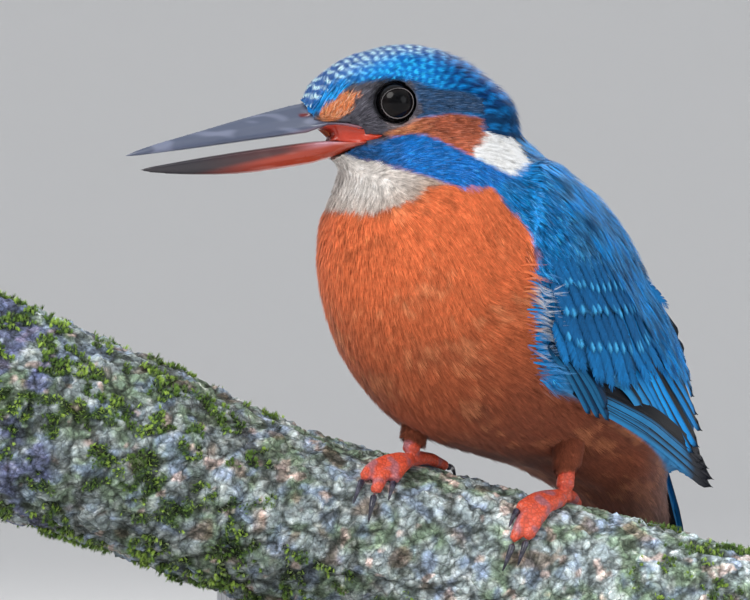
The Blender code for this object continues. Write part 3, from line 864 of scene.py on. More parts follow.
def places_in(tree, **mapping):
    """Object coordinates, through a Mapping node where a place or a scale is asked for."""
    where = node_in(tree, "TexCoord").outputs["Object"]
    return node_in(tree, "Mapping", {"Vector": where, **mapping}).outputs[0] if mapping else where


def paint_in(tree):
    """The colours that the rules painted on the mesh."""
    return node_in(tree, "Attribute", attribute_name="Coat").outputs["Color"]


def noise_in(tree, scale, detail=3.0, roughness=0.55, vector=None):
    if vector is None:
        vector = places_in(tree)
    return node_in(tree, "TexNoise", {"Vector": vector, "Scale": scale, "Detail": detail,
                                      "Roughness": roughness}).outputs["Fac"]


def ramp_in(tree, factor, *stops):
    """A colour ramp from (place, grey or colour) stops."""
    node = node_in(tree, "ValToRGB", {"Fac": factor})
    band = node.color_ramp
    while len(band.elements) < len(stops):
        band.elements.new(0.5)
    for element, (place, shade) in zip(band.elements, stops):
        element.position = place
        element.color = (shade, shade, shade, 1) if isinstance(shade, (int, float)) else (*shade, 1)
    return node.outputs["Color"]


print("node groups so far:", len(bpy.data.node_groups))


# %% Finishes of the coat
def make_streaks():
    """Fine mottling of a colour, and a height for the bump."""
    tree, start, end = group_of("plumage streaks", [("Colour", "Color"), ("Amount", "Float")],
                                [("Colour", "Color"), ("Height", "Float")])
    fine = noise_in(tree, 1600, 2)
    both = maths(tree, "MULTIPLY", maths(tree, "ADD", fine, noise_in(tree, 260, 2)), 0.5)
    shade = ramp_in(tree, both, (0.3, 0.62), (0.5, 1.0), (0.7, 1.25))
    tree.links.new(mixed_colour(tree, "MULTIPLY", start.outputs["Amount"], start.outputs["Colour"],
                                shade), end.inputs["Colour"])
    tree.links.new(fine, end.inputs["Height"])
    return tree


STREAKS = make_streaks()


def finish(name, roughness, specular, sheen=0.0, metallic=0.0, coat=0.0):
    """A new material with its tree and its shader, whose constant values sit on the shader itself."""
    made = bpy.data.materials.new(name)
    made.use_nodes = True
    shader = made.node_tree.nodes["Principled BSDF"]
    for socket, value in (("Roughness", roughness), ("Specular IOR Level", specular),
                          ("Metallic", metallic), ("Sheen Weight", sheen), ("Sheen Roughness", 0.5),
                          ("Coat Weight", coat), ("Coat Roughness", 0.06)):
        shader.inputs[socket].default_value = value
    return made, made.node_tree, shader


def bumped(tree, shader, height, strength, distance):
    node = node_in(tree, "Bump", {"Height": height, "Strength": strength, "Distance": distance * MM})
    tree.links.new(node.outputs["Normal"], shader.inputs["Normal"])


def coat_finish(name, roughness, specular, sheen, metallic=0.0, streaks=0.5, webbed=False):
    made, tree, shader = finish(name, roughness, specular, sheen, metallic)
    streaked = node_in(tree, "Group", node_tree=STREAKS)
    tree.links.new(paint_in(tree), streaked.inputs["Colour"])
    streaked.inputs["Amount"].default_value = streaks
    tree.links.new(streaked.outputs["Colour"], shader.inputs["Base Color"])
    height = streaked.outputs["Height"]
    if webbed:
        height = barb_lines(tree)
        tinted = mixed_colour(tree, "MULTIPLY", 0.45, streaked.outputs["Colour"],
                              ramp_in(tree, height, (0.0, 0.55), (0.6, 1.0), (1.0, 1.15)))
        tree.links.new(tinted, shader.inputs["Base Color"])
    bumped(tree, shader, height, 0.5 if webbed else 0.25, 0.06)
    return made


def barb_lines(tree):
    """Slanting barbs of a vane, from its own map: share of half width and share of length."""
    vane = node_in(tree, "SeparateXYZ", {0: node_in(tree, "UVMap", uv_map="Vane").outputs["UV"]})
    slant = maths(tree, "MULTIPLY", maths(tree, "ABSOLUTE", vane.outputs["X"]), -9.0)
    both = maths(tree, "ADD", slant, maths(tree, "MULTIPLY", vane.outputs["Y"], 60.0))
    ragged = node_in(tree, "CombineXYZ", {"X": both, "Y": vane.outputs["X"]}).outputs[0]
    return noise_in(tree, 1.6, 2, 0.6, ragged)


PLUME = coat_finish("soft plumage", 0.85, 0.1, 0.1)
GLEAM = coat_finish("gleaming plumage", 0.55, 0.12, 0.0, 0.2, 0.6)
WEB = coat_finish("feather web", 0.5, 0.15, 0.0, 0.2, 0.35, webbed=True)
FINISH_OF = {"plumage_orange": PLUME, "plumage_white": PLUME, "plumage_blue": GLEAM}
skin.data.materials.append(PLUME)
print("finishes of the coat:", PLUME.name, GLEAM.name, WEB.name)

# %% [markdown]
# The orange breast and belly are a deep pile of loose plumes, longest on the flanks, where they
# spill over the front edge of the wing. The throat and the white neck patch are the same, but finer.

# %% Tracts of plumes
WINGS_TREE = tree_of(WING_NODES + TAIL_NODES)


def off_the_wings(points):
    return eased(gap_to(WINGS_TREE, points), 0.9, 1.7)


def off_the_mouth(points):
    return inward(side_view(points, HEAD), MOUTH) < -0.15


def is_orange(points):
    body = inside(points, BODY)
    return (body[:, 2] < orange_top(body)) * (inward(body[:, (0, 2)], ORANGE) > -0.3)


def in_head_field(points, outline, edge):
    head = inside(points, HEAD)
    return (inward(head[:, (0, 2)], outline) > -edge) * (np.abs(head[:, 1]) > 2.5)


def above_line(points):
    """True on the head and neck, false on the trunk."""
    head = inside(points, HEAD)
    return head[:, 2] + 0.35 * head[:, 0] > -25


print("feathers stay clear of", len(WING_NODES + TAIL_NODES), "plates")


# %% Laying a tract
def varied(count, spread, low, high):
    """Random shares about 1, held between two limits."""
    return np.clip(rng.normal(1, spread, count), low, high)


def barb_play(count, shape, amount):
    """A share of light for each barb of each feather, about 1."""
    return rng.normal(1, amount, (count, shape[3][-1] + 1))[:, shape[3], None]


def plain_paint(base, shape, roots=None, darker=0.78, lighter=1.12, play=0.1):
    """Each feather in its own colour, darker at the root, with a little play from barb to barb.
    Every paint takes the colours under the feathers, their shape and their roots; this one doesn't use
    the roots."""
    shade = darker + (lighter - darker) * shape[0][:, 0]
    each = rng.normal(1, 0.09, (len(base), 1, 1)) * barb_play(len(base), shape, play)
    return base[:, None] * shade[None, :, None] * each


def lay_tract(name, wanted, spacing, length, width, lift, shape, slot, form,
              paint=plain_paint, wander=0.14, follow=0.5, soft=0.75, steps=3, tips=None,
              stand=None, paint_at=None, over=0.0, own_lie=None, play=0.12):
    """Scatters roots where wanted says so, lays a feather from each and joins them."""
    roots, normals = SKIN.scattered(spacing * THICK, lambda p: wanted(p) * off_the_mouth(p))
    count = len(roots)
    ways = along_surface(own_lie(roots), normals) if own_lie else lie_at(roots, normals)
    sideways = np.cross(normals, ways)
    ways = unit(ways + sideways * rng.normal(0, wander, (count, 1)))
    lengths = length * (varied(count, 0.14, 0.6, 1.4) * (tips(roots) if tips else 1))
    widths = width * varied(count, 0.1, 0.7, 1.3)
    lifts = lift * varied(count, 0.25, 0.3, 1.8) * (stand(roots) if stand else 1)
    line, ups, heads = stations_along(SKIN, roots, normals, ways, lengths, steps, follow)
    places, up, _ = laid(shape, line, ups, heads, lengths, widths, lifts, over=over)
    if paint_at:
        colours = paint_at(places.reshape(-1, 3)).reshape(places.shape) * barb_play(count, shape, play)
    else:
        colours = paint(coat_colour(line[:, steps // 2]), shape, roots)
    joined(name, shape, places, up, colours, globe(roots, *form), FINISH_OF[slot], soft)


# The two forms that the roots are unwrapped round: their axes and their middles.
TRUNK, SKULL = (BODY, np.array((-5.0, 0, -3.0))), (HEAD, np.array((-5.0, 0, -2.0)))
THICK = 0.55
TUFTS = tuft_shape(6, 3, 0.1)


def between_heights(points, low, high):
    up = inside(points, BODY)[:, 2]
    return (up > low) * (up <= high)


def flank_reach(points):
    """Plumes are longer on the flank by the wing's edge."""
    body = inside(points, BODY)
    near = 1 - eased(gap_to(WINGS_TREE, points), 2, 7)
    return 1 + 0.55 * near * (body[:, 0] > -4) * (body[:, 2] > -14)


for name, low, high, spacing, length, width, lift in (
        ("plumes_breast", -6, np.inf, 1.28, 3.8, 0.85, 0.62),
        ("plumes_belly", -np.inf, -6, 1.62, 4.4, 1.0, 0.7)):
    lay_tract(name, lambda p: is_orange(p) * off_the_wings(p) * between_heights(p, low, high),
              spacing, length, width, lift, TUFTS, "plumage_orange", TRUNK, tips=flank_reach)

# %% [markdown]
# Along the front edge of the folded wing the flank plumes splay out over the blue in loose pale
# bundles, like the bristles of a worn brush. They take their own lie, straight back, and fan a little.

# %% Plumes over the wing's front edge
FLANK_BAND = ((13.2, 11), (12.8, 8), (11.4, 0), (9.2, -6), (5.2, -13), (2.6, -12), (6.6, -5), (8.6, 1),
              (10.0, 8), (10.6, 11))
BUNDLE = tuft_shape(4, 3, 0.2, 11)


def on_body_side(points, outline, midline_gap):
    """Inside an outline in side view, and off the body's midline."""
    off_middle = np.abs(inside(points, BODY)[:, 1]) > midline_gap
    return (inward(side_view(points, BODY), outline) > 0) * off_middle


def splayed(points):
    """Straight back along the body, with a slow fan up and down."""
    fan = 0.35 * smooth_noise(points, 2.5, 66) + rng.normal(0, 0.12, len(points))
    return turned(np.stack([-np.ones(len(points)), np.zeros(len(points)), fan], axis=1), BODY)


def bundle_paint(base, shape, roots):
    """Orange at the root and cream at the tip, most so half way down the wing's edge."""
    up = inside(roots, BODY)[:, 2]
    pale = eased(up, -9, -3) * (1 - eased(up, 7, 10)) * 0.9 + 0.1
    cream = PAINT["white"] * rng.normal(0.7, 0.1, (len(base), 1))
    tips = painted(base, cream, pale)
    share = eased(shape[0][:, 0], 0.3, 0.8)[None, :, None]
    return mixed(base[:, None], tips[:, None], share) * barb_play(len(base), shape, 0.12)


lay_tract("plumes_flank_edge", lambda p: on_body_side(p, FLANK_BAND, 12), 1.9, 6.0, 0.32, 1.1,
          BUNDLE, "plumage_orange", TRUNK, paint=bundle_paint, own_lie=splayed, over=0.5, follow=0.1)

# %% [markdown]
# Where the throat, the cheeks and the neck patch are fine and short, tufts are small and close. They
# are smallest round the bill and the eye, where the real bird's feathers are little more than bristles.

# %% Throat, neck patch and face
FINE = tuft_shape(5, 2, 0.12, 3)


def is_throat(points):
    body = inside(points, BODY)
    over = body[:, 2] > orange_top(body) - 0.5
    return over * (inward(side_view(points, HEAD), THROAT) > -0.2) * above_line(points)


def size_on_head(points):
    """Feathers shrink towards the bill and the eye."""
    head = inside(points, HEAD)
    from_eye = np.hypot(head[:, 0], head[:, 2])
    return (0.5 + 0.5 * eased(14 - head[:, 0], 0, 12)) * (0.55 + 0.45 * eased(from_eye, 3.5, 7))


def in_face(points):
    fields = [in_head_field(points, outline, 0.3)
              for outline in (EAR_ORANGE, MALAR, LORES, EYE_STREAK)]
    head = inside(points, HEAD)
    out_of_eye = np.hypot(head[:, 0], head[:, 2]) > 3.25
    return np.clip(sum(fields), 0, 1) * out_of_eye


def fleck_paint(base, shape, roots):
    """As plain paint, with some barbs pale, which makes the fine streaks of the cheek."""
    base = base * varied((len(base), 1), 0.22, 0.4, 1.7)
    colours = plain_paint(base, shape, roots, 0.5, 1.2, 0.28)
    pale = (rng.random((len(base), shape[3][-1] + 1)) < 0.12)[:, shape[3], None]
    return np.where(pale, colours * 1.5 + 0.08, colours)


def shaded_paint(darker, lighter, play):
    return lambda base, shape, roots: plain_paint(base, shape, roots, darker, lighter, play)


lay_tract("plumes_throat", is_throat, 1.15, 2.8, 0.5, 0.45, FINE, "plumage_white", SKULL,
          paint=shaded_paint(0.55, 1.15, 0.16))
lay_tract("plumes_neck_patch", lambda p: in_head_field(p, WHITE_PATCH, 0.2), 0.95, 3.6, 0.5,
          0.7, FINE, "plumage_white", SKULL, paint=shaded_paint(0.98, 1.28, 0.1), wander=0.1)
lay_tract("plumes_face", in_face, 0.75, 2.5, 0.33, 0.36, FINE, "plumage_orange", SKULL,
          paint=fleck_paint, tips=size_on_head, wander=0.1)

SPOT_PAINTS = ((250, 206, 178), (238, 150, 100), (222, 118, 66), (226, 130, 80), (104, 78, 68))
SPOT_COLOURS = np.array([plain_colour(*rgb) for rgb in SPOT_PAINTS])
SPOT_SHARES = (0.2, 0.25, 0.25, 0.2, 0.1)


def spot_paint(base, shape, roots):
    """The spot before the eye: pale, orange and a few dark barbs side by side."""
    pick = rng.choice(5, (len(base), shape[3][-1] + 1), p=SPOT_SHARES)[:, shape[3]]
    shade = 0.7 + 0.45 * shape[0][:, 0]
    return SPOT_COLOURS[pick] * shade[None, :, None]


def spot_lie(points):
    """Back and up from the bill, each barb its own way."""
    return turned(unit(np.stack([-np.ones(len(points)), np.zeros(len(points)),
                                 rng.normal(0.95, 0.3, len(points))], axis=1)), HEAD)


lay_tract("plumes_loral_spot", lambda p: in_head_field(p, LORAL_SPOT, 0.1), 1, 1.9, 0.36, 0.6,
          FINE, "plumage_orange", SKULL, paint=spot_paint, own_lie=spot_lie, follow=0.1)

# %% [markdown]
# The cap of a kingfisher is barred: each feather has one pale crescent near its tip, and the feathers
# stand in rows across the head, so the crescents line up. We lay a dense coat of small tufts and
# paint every barb by where it lies among the rows, so that the barbs run through the crescents like
# hairs. Rows are fine on the forehead and wide on the nape, where the tufts stand out as a crest.

# %% Crown and nape
ROW_HUB, ROW_REACH, DASH = (-4.0, -3.5), 14.0, 2.0
ROW_ARCS = np.linspace(-10, 70, 400)
ROW_STEPS = 1.35 + 1.15 * eased(ROW_ARCS, 12, 30)
ROW_NUMBERS = np.cumsum(np.gradient(ROW_ARCS) / ROW_STEPS)
HAIRS = tuft_shape(5, 4, 0.12, 3)
# Bars and gaps of the cap; the top's paler paints are partly painted highlight.
CAP = palette({
    "top bar": (212, 244, 255), "top gap": (74, 112, 176), "side bar": (50, 196, 255),
    "side gap": (14, 116, 200), "rear bar": (14, 146, 228), "rear gap": (12, 66, 128),
    "front bar": (116, 210, 240), "front gap": (30, 118, 182), "low bar": (20, 120, 190),
    "low gap": (14, 66, 112),
})


def in_crown(points):
    return (inward(side_view(points, HEAD), CROWN) > 0.2) * above_line(points)


def crescents(head, wobble):
    """How much a place on the crown lies in a pale crescent: 0 to 1."""
    run, rise = head[:, 0] - ROW_HUB[0], head[:, 2] - ROW_HUB[1]
    arc = (math.pi / 2 - np.arctan2(run, rise)) * ROW_REACH
    rows = np.interp(arc, ROW_ARCS, ROW_NUMBERS) + wobble
    number = np.floor(rows)
    aside = np.arctan2(np.abs(head[:, 1]), np.hypot(run, rise)) * 13 / DASH + 0.5 * (number % 2)
    swing = np.cos(2 * math.pi * (aside + 0.6 * wobble))
    part = rows + 0.12 * swing - number
    bar = eased(part, 0.28, 0.46) * (1 - eased(part, 0.78, 0.92))
    return bar * (0.3 + 0.7 * eased(swing, -0.8, 0.0))


def crown_colour(points):
    head = inside(points, HEAD)
    bar = crescents(head, 0.24 * smooth_noise(points, 1.9, 60))
    # The top of the cap is paler: its crescents partly painted highlight, fading towards the nape.
    top = (1 - eased(np.abs(head[:, 1]), 4.0, 8.5)) * eased(head[:, 2], -4, 4)
    top = top * (1 - 0.75 * eased(-head[:, 0], 8, 15))
    rear, low, front = eased(-head[:, 0], 6, 14), eased(-head[:, 2], 2, 7), eased(head[:, 0], 5, 11)
    kinds = []
    for kind in ("gap", "bar"):
        colours = all_over(points, CAP[f"side {kind}"])
        for place, share in (("rear", rear), ("front", front), ("top", top), ("low", low)):
            colours = painted(colours, CAP[f"{place} {kind}"], share)
        kinds.append(colours)
    return painted(*kinds, bar)


def crest(points):
    """The tufts stand out on the back of the head."""
    head = inside(points, HEAD)
    return 1 + 2.6 * eased(-head[:, 0], 5, 15) * eased(head[:, 2], -12, -4)


def crown_reach(points):
    head = inside(points, HEAD)
    return size_on_head(points) * (1 + 0.5 * eased(-head[:, 0], 5, 14))


lay_tract("feathers_crown", in_crown, 0.98, 2.6, 0.42, 0.4, HAIRS, "plumage_blue", SKULL,
          paint_at=crown_colour, wander=0.12, tips=crown_reach, stand=crest, soft=0.6)

# %% [markdown]
# The mantle, back and shoulders are looser and hair-like at their tips, brightest in a line from the
# neck to the tail. The small coverts at the bend of the wing are the same kind of fuzz. The
# scapulars are long plumes that flow back over the wing, in azure streaks with dark between them.

# %% Mantle, back and bend of the wing
BARBED = tuft_shape(5, 3, 0.13, 5)
FLOWING = tuft_shape(5, 5, 0.11, 6)
COVERT_FUZZ = ((14, 17), (12, 9.4), (4, 9), (-4, 9), (-10, 10), (-16, 12), (-20, 20), (-12, 32),
               (8, 33))
SCAPULARS = ((5, 36), (2, 20), (-8, 14.5), (-18, 7), (-27, 0), (-33, -8), (-46, -8), (-42, 6),
             (-30, 22), (-10, 38))


def in_mantle(points):
    """The blue of the trunk that no other tract has taken."""
    blue = inward(side_view(points, BODY), ORANGE) < 0.2
    taken = (in_crown, is_throat, in_face, lambda p: in_head_field(p, WHITE_PATCH, 0.2))
    free = blue * off_the_wings(points)
    for tract in taken:
        free = free * (1 - tract(points))
    return free


def in_bend(points):
    return (1 - off_the_wings(points)) * on_body_side(points, COVERT_FUZZ, 12)


def in_scapulars(points):
    return on_body_side(points, SCAPULARS, 3)


def flowing_colour(points):
    """Long azure streaks with dark between them, along the lie of the back."""
    stretched = inside(points, BODY) * (0.2, 1.2, 0.2)
    lines = smooth_noise(stretched @ BODY[1] * MM, 1.1, 44)
    return layered(all_over(points, PAINT["mantle blue"] * 0.8),
                   (PAINT["azure"], eased(lines, -0.1, 0.5)),
                   (PAINT["wing teal"] * 0.8, eased(-lines, 0.2, 0.7)))


lay_tract("plumes_mantle", in_mantle, 1.3, 4.2, 0.7, 0.6, BARBED, "plumage_blue", TRUNK,
          paint=fleck_paint, wander=0.12)
lay_tract("plumes_wing_bend", in_bend, 1.1, 2.9, 0.5, 0.5, BARBED, "plumage_blue", TRUNK,
          paint=fleck_paint, wander=0.2, over=0.45)
lay_tract("plumes_scapular", in_scapulars, 2.4, 7.5, 0.7, 0.7, FLOWING, "plumage_blue", TRUNK,
          paint_at=flowing_colour, wander=0.07, follow=0.7, steps=5, over=0.75, play=0.2)

# %% [markdown]
# The folded wing is built as it grows: rows of feathers, each with its roots on one line and its tips
# on another, laid from the wing's lower edge upwards so that every row covers the roots of the row
# below. We draw the lines in side view, read how far out the solid wing's surface lies there, and
# bend the feathers over it. The right wing is the left one mirrored.

# %% How far out the wing lies
GRID_STEP, GRID_EDGE, FAR_OUT = 0.8, 8, 60.0
FILL_TURNS, MOST_TURNS, SMOOTHING = 60, 400, 2


def around(values):
    """The sum of each grid value and its eight neighbours."""
    padded = np.pad(values, 1)
    return sum(padded[1 + i:padded.shape[0] - 1 + i, 1 + k:padded.shape[1] - 1 + k]
               for i in (-1, 0, 1) for k in (-1, 0, 1))


class SideMap:
    """How far to the side of the body's middle a solid's outer surface lies, over (forward, up)."""

    def __init__(self, node, sign):
        tree = tree_of([node])
        flat = side_view(points_of(node), BODY)
        self.low = flat.min(0) - GRID_EDGE
        self.size = np.ceil((flat.max(0) + GRID_EDGE - self.low) / GRID_STEP).astype(int) + 1
        inward_way = turned(np.array((0, -sign, 0.0)), BODY)
        reach = np.full(self.size, np.nan)
        for i, k in np.ndindex(*self.size):
            f, z = self.low + (i * GRID_STEP, k * GRID_STEP)
            start = outside(np.array((f, FAR_OUT * sign, z)), BODY)
            hit = tree.ray_cast(start, inward_way, FAR_OUT * MM)[0]
            if hit:
                reach[i, k] = sign * inside(np.array(hit), BODY)[1]
        self.reach = self.spread(reach)

    @staticmethod
    def spread(reach):
        """Fills what the solid doesn't cover from its neighbours, then smooths lightly."""
        known = ~np.isnan(reach)
        values = np.where(known, reach, 0)
        for turn in range(MOST_TURNS):
            if turn >= FILL_TURNS and known.all():
                break
            weight = known.astype(float)
            near = around(weight)
            mean = around(values * weight) / np.maximum(near, 1e-9)
            fresh = (near > 0) & np.isnan(reach)
            values = np.where(fresh, mean, values)
            known = known | fresh
        for _ in range(SMOOTHING):
            values = around(values) / around(np.ones_like(values))
        return values

    def at(self, forward, up):
        """The reach at tables of places, mixed from the four grid values round each."""
        place = np.stack([(forward - self.low[0]) / GRID_STEP, (up - self.low[1]) / GRID_STEP])
        place = np.clip(place, 0, (self.size - 1.001)[:, None, None])
        i, k = place.astype(int)
        right, over = place - (i, k)
        return ((self.reach[i, k] * (1 - right) + self.reach[i + 1, k] * right) * (1 - over)
                + (self.reach[i, k + 1] * (1 - right) + self.reach[i + 1, k + 1] * right) * over)


def curve_at(points, share):
    """Places at shares of the length of a smooth curve through points."""
    points = np.array(points, float)
    reach = np.concatenate([[0], np.cumsum(np.linalg.norm(np.diff(points, axis=0), axis=1))])
    return np.stack([np.interp(share * reach[-1], reach, points[:, k]) for k in range(2)], axis=1)


SIDE_MAPS = {(part, sign): SideMap(f"wing_{side}_{part}", sign)
             for side, sign in SIDES
             for part in ("coverts", "secondaries", "primaries")}
print("side maps:", {key: tuple(made.size) for key, made in SIDE_MAPS.items()})


# %% Laying a row of wing feathers
WING_GROUPS = {"left": [], "right": []}
JITTER = 0.02


def lay_row(part, roots, tips, count, half_width, shape, paint, out, bow=0.0, soft=0.0):
    """A row of feathers on both wings, from a line of roots to a line of tips, in side view."""
    share = (np.arange(count) + 0.5) / count + rng.uniform(-JITTER, JITTER, count)
    base, tip = curve_at(roots, share), curve_at(tips, share)
    tip = tip + rng.normal(0, 0.45 if soft else 0.2, tip.shape)
    line = tip - base
    length = np.linalg.norm(line, axis=1)
    ahead = line / length[:, None]
    beside = np.stack([-ahead[:, 1], ahead[:, 0]], axis=1)
    s, w, h = shape[0].T
    half = half_width * rng.normal(1, 0.05, count)
    swing = bow * length[:, None] * (s * (1 - s))[None] * 4
    flat = base[:, None] + ahead[:, None] * (length[:, None] * s[None])[:, :, None]
    flat = flat + beside[:, None] * (w[None] * half[:, None] + swing)[:, :, None]
    order = np.linspace(0, 0.25, count)[:, None]
    stack = out + order + 0.22 * s[None] + h[None] * np.minimum(half, 1.5)[:, None] + 0.12 * w[None]
    colours = paint(count, shape) * barb_play(count, shape, 0.08)
    for side, sign in SIDES:
        reach = SIDE_MAPS[part, sign].at(flat[..., 0], flat[..., 1]) + stack
        local = np.stack([flat[..., 0], sign * reach, flat[..., 1]], axis=-1)
        WING_GROUPS[side].append((shape, local, colours, sign, soft))


def web_colours(count, shape, ground, edge, bright, streak, tip_from=1.1, spot=0.0, rim=0.7):
    """A dark vane with a bright band along it, a dark rim and perhaps a pale drop before its tip."""
    s, w, _ = shape[0].T
    each = rng.normal(1, 0.08, (count, 1, 1))
    colours = np.tile(ground, (count, len(s), 1)) * each
    lit = eased(w, streak[0], streak[0] + 0.25) * (1 - eased(w, streak[1] - 0.12, streak[1]))
    lit = (lit * eased(s, 0.02, 0.2) * (1 - eased(s, 0.9, 1.0)))[None, :, None]
    colours = mixed(colours, bright * each, lit)
    colours = mixed(colours, edge, eased(np.abs(w), 0.86, 1.0)[None, :, None] * rim)
    if spot:
        drop = (1 - eased(np.abs(w), 0.15, 0.46)) * eased(s, 0.72, 0.79) * (1 - eased(s, 0.93, 0.98))
        size = varied((count, 1, 1), 0.3, 0.2, 1)
        colours = mixed(colours, PAINT["spot"], (drop * spot)[None, :, None] * size)
    tips = eased(s, tip_from - 0.08, tip_from + 0.04)[None, :, None]
    return mixed(colours, PAINT["tip dark"], tips)


print("rows are laid on", *WING_GROUPS, "wings")


# %% The wing's feathers, row by row
COVERT = vane_shape(22, round_from=0.5, slant=0.1, notch=0.03, seed=4)
LONG = web_shape(16, 0.62, 1.0, round_from=0.9)


def covert_paint(spot, light):
    """A small covert: teal, lit by a share of the web's blue, with or without a pale drop."""
    ground = PAINT["wing teal"]
    bright = mixed(ground, PAINT["wing web"], light)
    return lambda count, shape: web_colours(count, shape, ground * 0.9, ground * 0.6, bright,
                                            (-0.6, 0.8), spot=spot, rim=0.35)


def quill_paint(ground, bright, streak, tip_from=1.1):
    """A long feather: a bright band between two shares of its half width, on a dark ground."""
    return lambda count, shape: web_colours(count, shape, ground, PAINT["dark"], bright, streak,
                                            tip_from)


def secondary_paint(count, shape):
    """The lowest secondaries are dull, and the rest azure."""
    dull = quill_paint(PAINT["dark"], PAINT["quill blue"], (-0.1, 0.84), 0.99)(count, shape)
    rich = quill_paint(PAINT["quill dark"], PAINT["azure"], (-0.15, 0.84), 1.0)(count, shape)
    fade = np.linspace(0, 1, count)[:, None, None]
    return mixed(dull, rich, eased(fade, 0.0, 0.25))


PRIMARY_PAINT = quill_paint(PAINT["dark"], PAINT["quill blue"], (0.06, 0.84), 0.84)
ALULA_PAINT = quill_paint(PAINT["wing teal"] * 0.35, PAINT["quill blue"] * 0.6, (-0.1, 0.8), 1.0)
lay_row("primaries", ((-2, -14.6), (-8, -13.2)),
        ((-55.5, -34.8), (-57.6, -33.6), (-56.4, -31), (-53.5, -27.5)),
        4, 2.1, LONG, PRIMARY_PAINT, -0.35, bow=-0.012)
lay_row("primaries", ((6, -5.5), (4, -2.5)), ((-7, -18.4), (-13.5, -20.0), (-12, -16.6)),
        4, 1.3, LONG, ALULA_PAINT, 0.0, bow=-0.02)
lay_row("secondaries", ((-13, -11), (-20, -6), (-28, 2), (-35, 10)),
        ((-36, -24), (-43, -26.4), (-50.5, -27), (-53.4, -22), (-53.2, -15), (-50.5, -8.5), (-47, -3)),
        13, 2.0, LONG, secondary_paint, -0.3, bow=0.02)
COVERT_ROWS = (  # roots, tips, how many, half width, spot, light, how far out
    (((7, 0), (0, 1), (-8, 1), (-16, 3), (-24, 7), (-30, 13)),
     ((2.4, -8), (-5, -11.4), (-11, -14), (-17, -14.2), (-25, -13), (-32, -9.5), (-38.5, -4), (-42, 3)),
     18, 1.8, 0.0, 0.7, -0.45),
    (((8, 3), (0, 1.5), (-8, 2), (-15, 3), (-21, 5), (-26, 10)),
     ((3, -3.5), (-4, -6.2), (-12, -7), (-20, -7.4), (-27, -6), (-33, 1)), 15, 1.5, 0.95, 0.15, -0.2),
    (((9.5, 8), (2, 8), (-6, 8), (-12, 9), (-17, 11), (-22, 15)),
     ((4.6, 2), (-3, 1.6), (-10, 1.2), (-17, 1), (-24, 1.8), (-30, 7)), 14, 1.4, 0.95, 0.2, 0.05),
    (((9.5, 12.5), (3, 12.5), (-4, 13), (-11, 14), (-16, 17)),
     ((5.4, 7), (-1.5, 6.4), (-9, 5.2), (-16, 5.8), (-23, 8)), 13, 1.25, 0.85, 0.3, 0.25),
)
for roots, tips, count, half, spot, light, out in COVERT_ROWS:
    lay_row("coverts", roots, tips, count, half, COVERT, covert_paint(spot, light), out, soft=0.7)


def join_wing(side, rows):
    """Each row of feathers becomes a mesh of its own."""
    for number, (shape, local, colours, sign, soft) in enumerate(rows):
        places = outside(local.reshape(-1, 3), BODY).reshape(local.shape)
        outward = np.tile(turned(np.array((0.0, sign, 0.15)), BODY), (*local.shape[:2], 1))
        joined(f"feathers_wing_{side}_{number}", shape, places, outward, colours, local[:, 0, (0, 2)],
               WEB, soft, vane=shape[0][:, (1, 0)])


for side, rows in WING_GROUPS.items():
    join_wing(side, rows)

# %% [markdown]
# The tail is short: a fan of twelve blunt feathers, blue above and dusky below. Each lies on the
# tail's centre line, a little further out than the last, and the middle pair lies on top.

# %% Tail
TAIL_LINE = ((-34, -14, 7), (-41.5, -27, 8.5), (-45.4, -41, 10), (-46.4, -54, 11.5))
TAIL_FEATHERS, TAIL_STATIONS, TAIL_EDGE = 12, 6, 2.0
TAIL_HALF_WIDTH, TAIL_LIFT, ABOVE_TAIL = 2.3, 0.25, 0.5
TAIL_WEB = web_shape(12, round_from=0.86)


def make_tail_feathers(name, facing, start, paint):
    """Six feathers to each side, from a share of the tail's line to its end."""
    shares = np.linspace(start, 1, TAIL_STATIONS)
    table = np.array(TAIL_LINE, float)
    reach = np.linspace(0, 1, len(table))
    path = np.stack([np.interp(shares, reach, table[:, k]) for k in range(3)], axis=1)
    run = np.gradient(path[:, :2], axis=0)
    away = unit(facing * np.stack([run[:, 1], -run[:, 0]], axis=1))
    place = np.linspace(-1, 1, TAIL_FEATHERS)
    out = (0.55 * (1 - np.abs(place)) + 0.35)[:, None] + ABOVE_TAIL
    sideways = place[:, None] * (path[None, :, 2] - TAIL_EDGE)
    local = np.stack([path[None, :, 0] + away[None, :, 0] * out, sideways,
                      path[None, :, 1] + away[None, :, 1] * out], axis=-1)
    line = outside(local.reshape(-1, 3), BODY).reshape(local.shape)
    heads = unit(np.gradient(line, axis=1))
    up = turned(np.stack([away[:, 0], np.zeros(TAIL_STATIONS), away[:, 1]], axis=1), BODY)
    ups = unit(np.tile(up[None], (TAIL_FEATHERS, 1, 1)))
    length, width, lift = (np.full(TAIL_FEATHERS, value) for value in (
        np.linalg.norm(path[-1, :2] - path[0, :2]), TAIL_HALF_WIDTH, TAIL_LIFT))
    places, up, _ = laid(TAIL_WEB, line, ups, heads, length, width, lift, 0)
    joined(name, TAIL_WEB, places, up, paint(TAIL_FEATHERS, TAIL_WEB), sideways[:, [0, -1]], WEB,
           0.2, vane=TAIL_WEB[0][:, (1, 0)])


make_tail_feathers("feathers_tail_upper", 1, 0.1,
                   quill_paint(PAINT["mantle blue"] * 0.7, PAINT["azure"] * 0.8, (-0.7, 0.75), 1.04))
make_tail_feathers("feathers_tail_under", -1, 0.25,
                   quill_paint(PAINT["tip dark"] * 1.3, PAINT["tip dark"] * 1.8, (0.05, 0.95)))

# %% [markdown]
# The bill is horn with a hard gloss. Its solids are coarse, so we melt copies of them into fine
# meshes, press the nostril slits in, and open the two cutting edges towards the gape. The lining of
# the mouth is stretched up and down to fill the wedge between them, and cut back at its front. The
# paint is slate above and orange-red below, as a female has it.

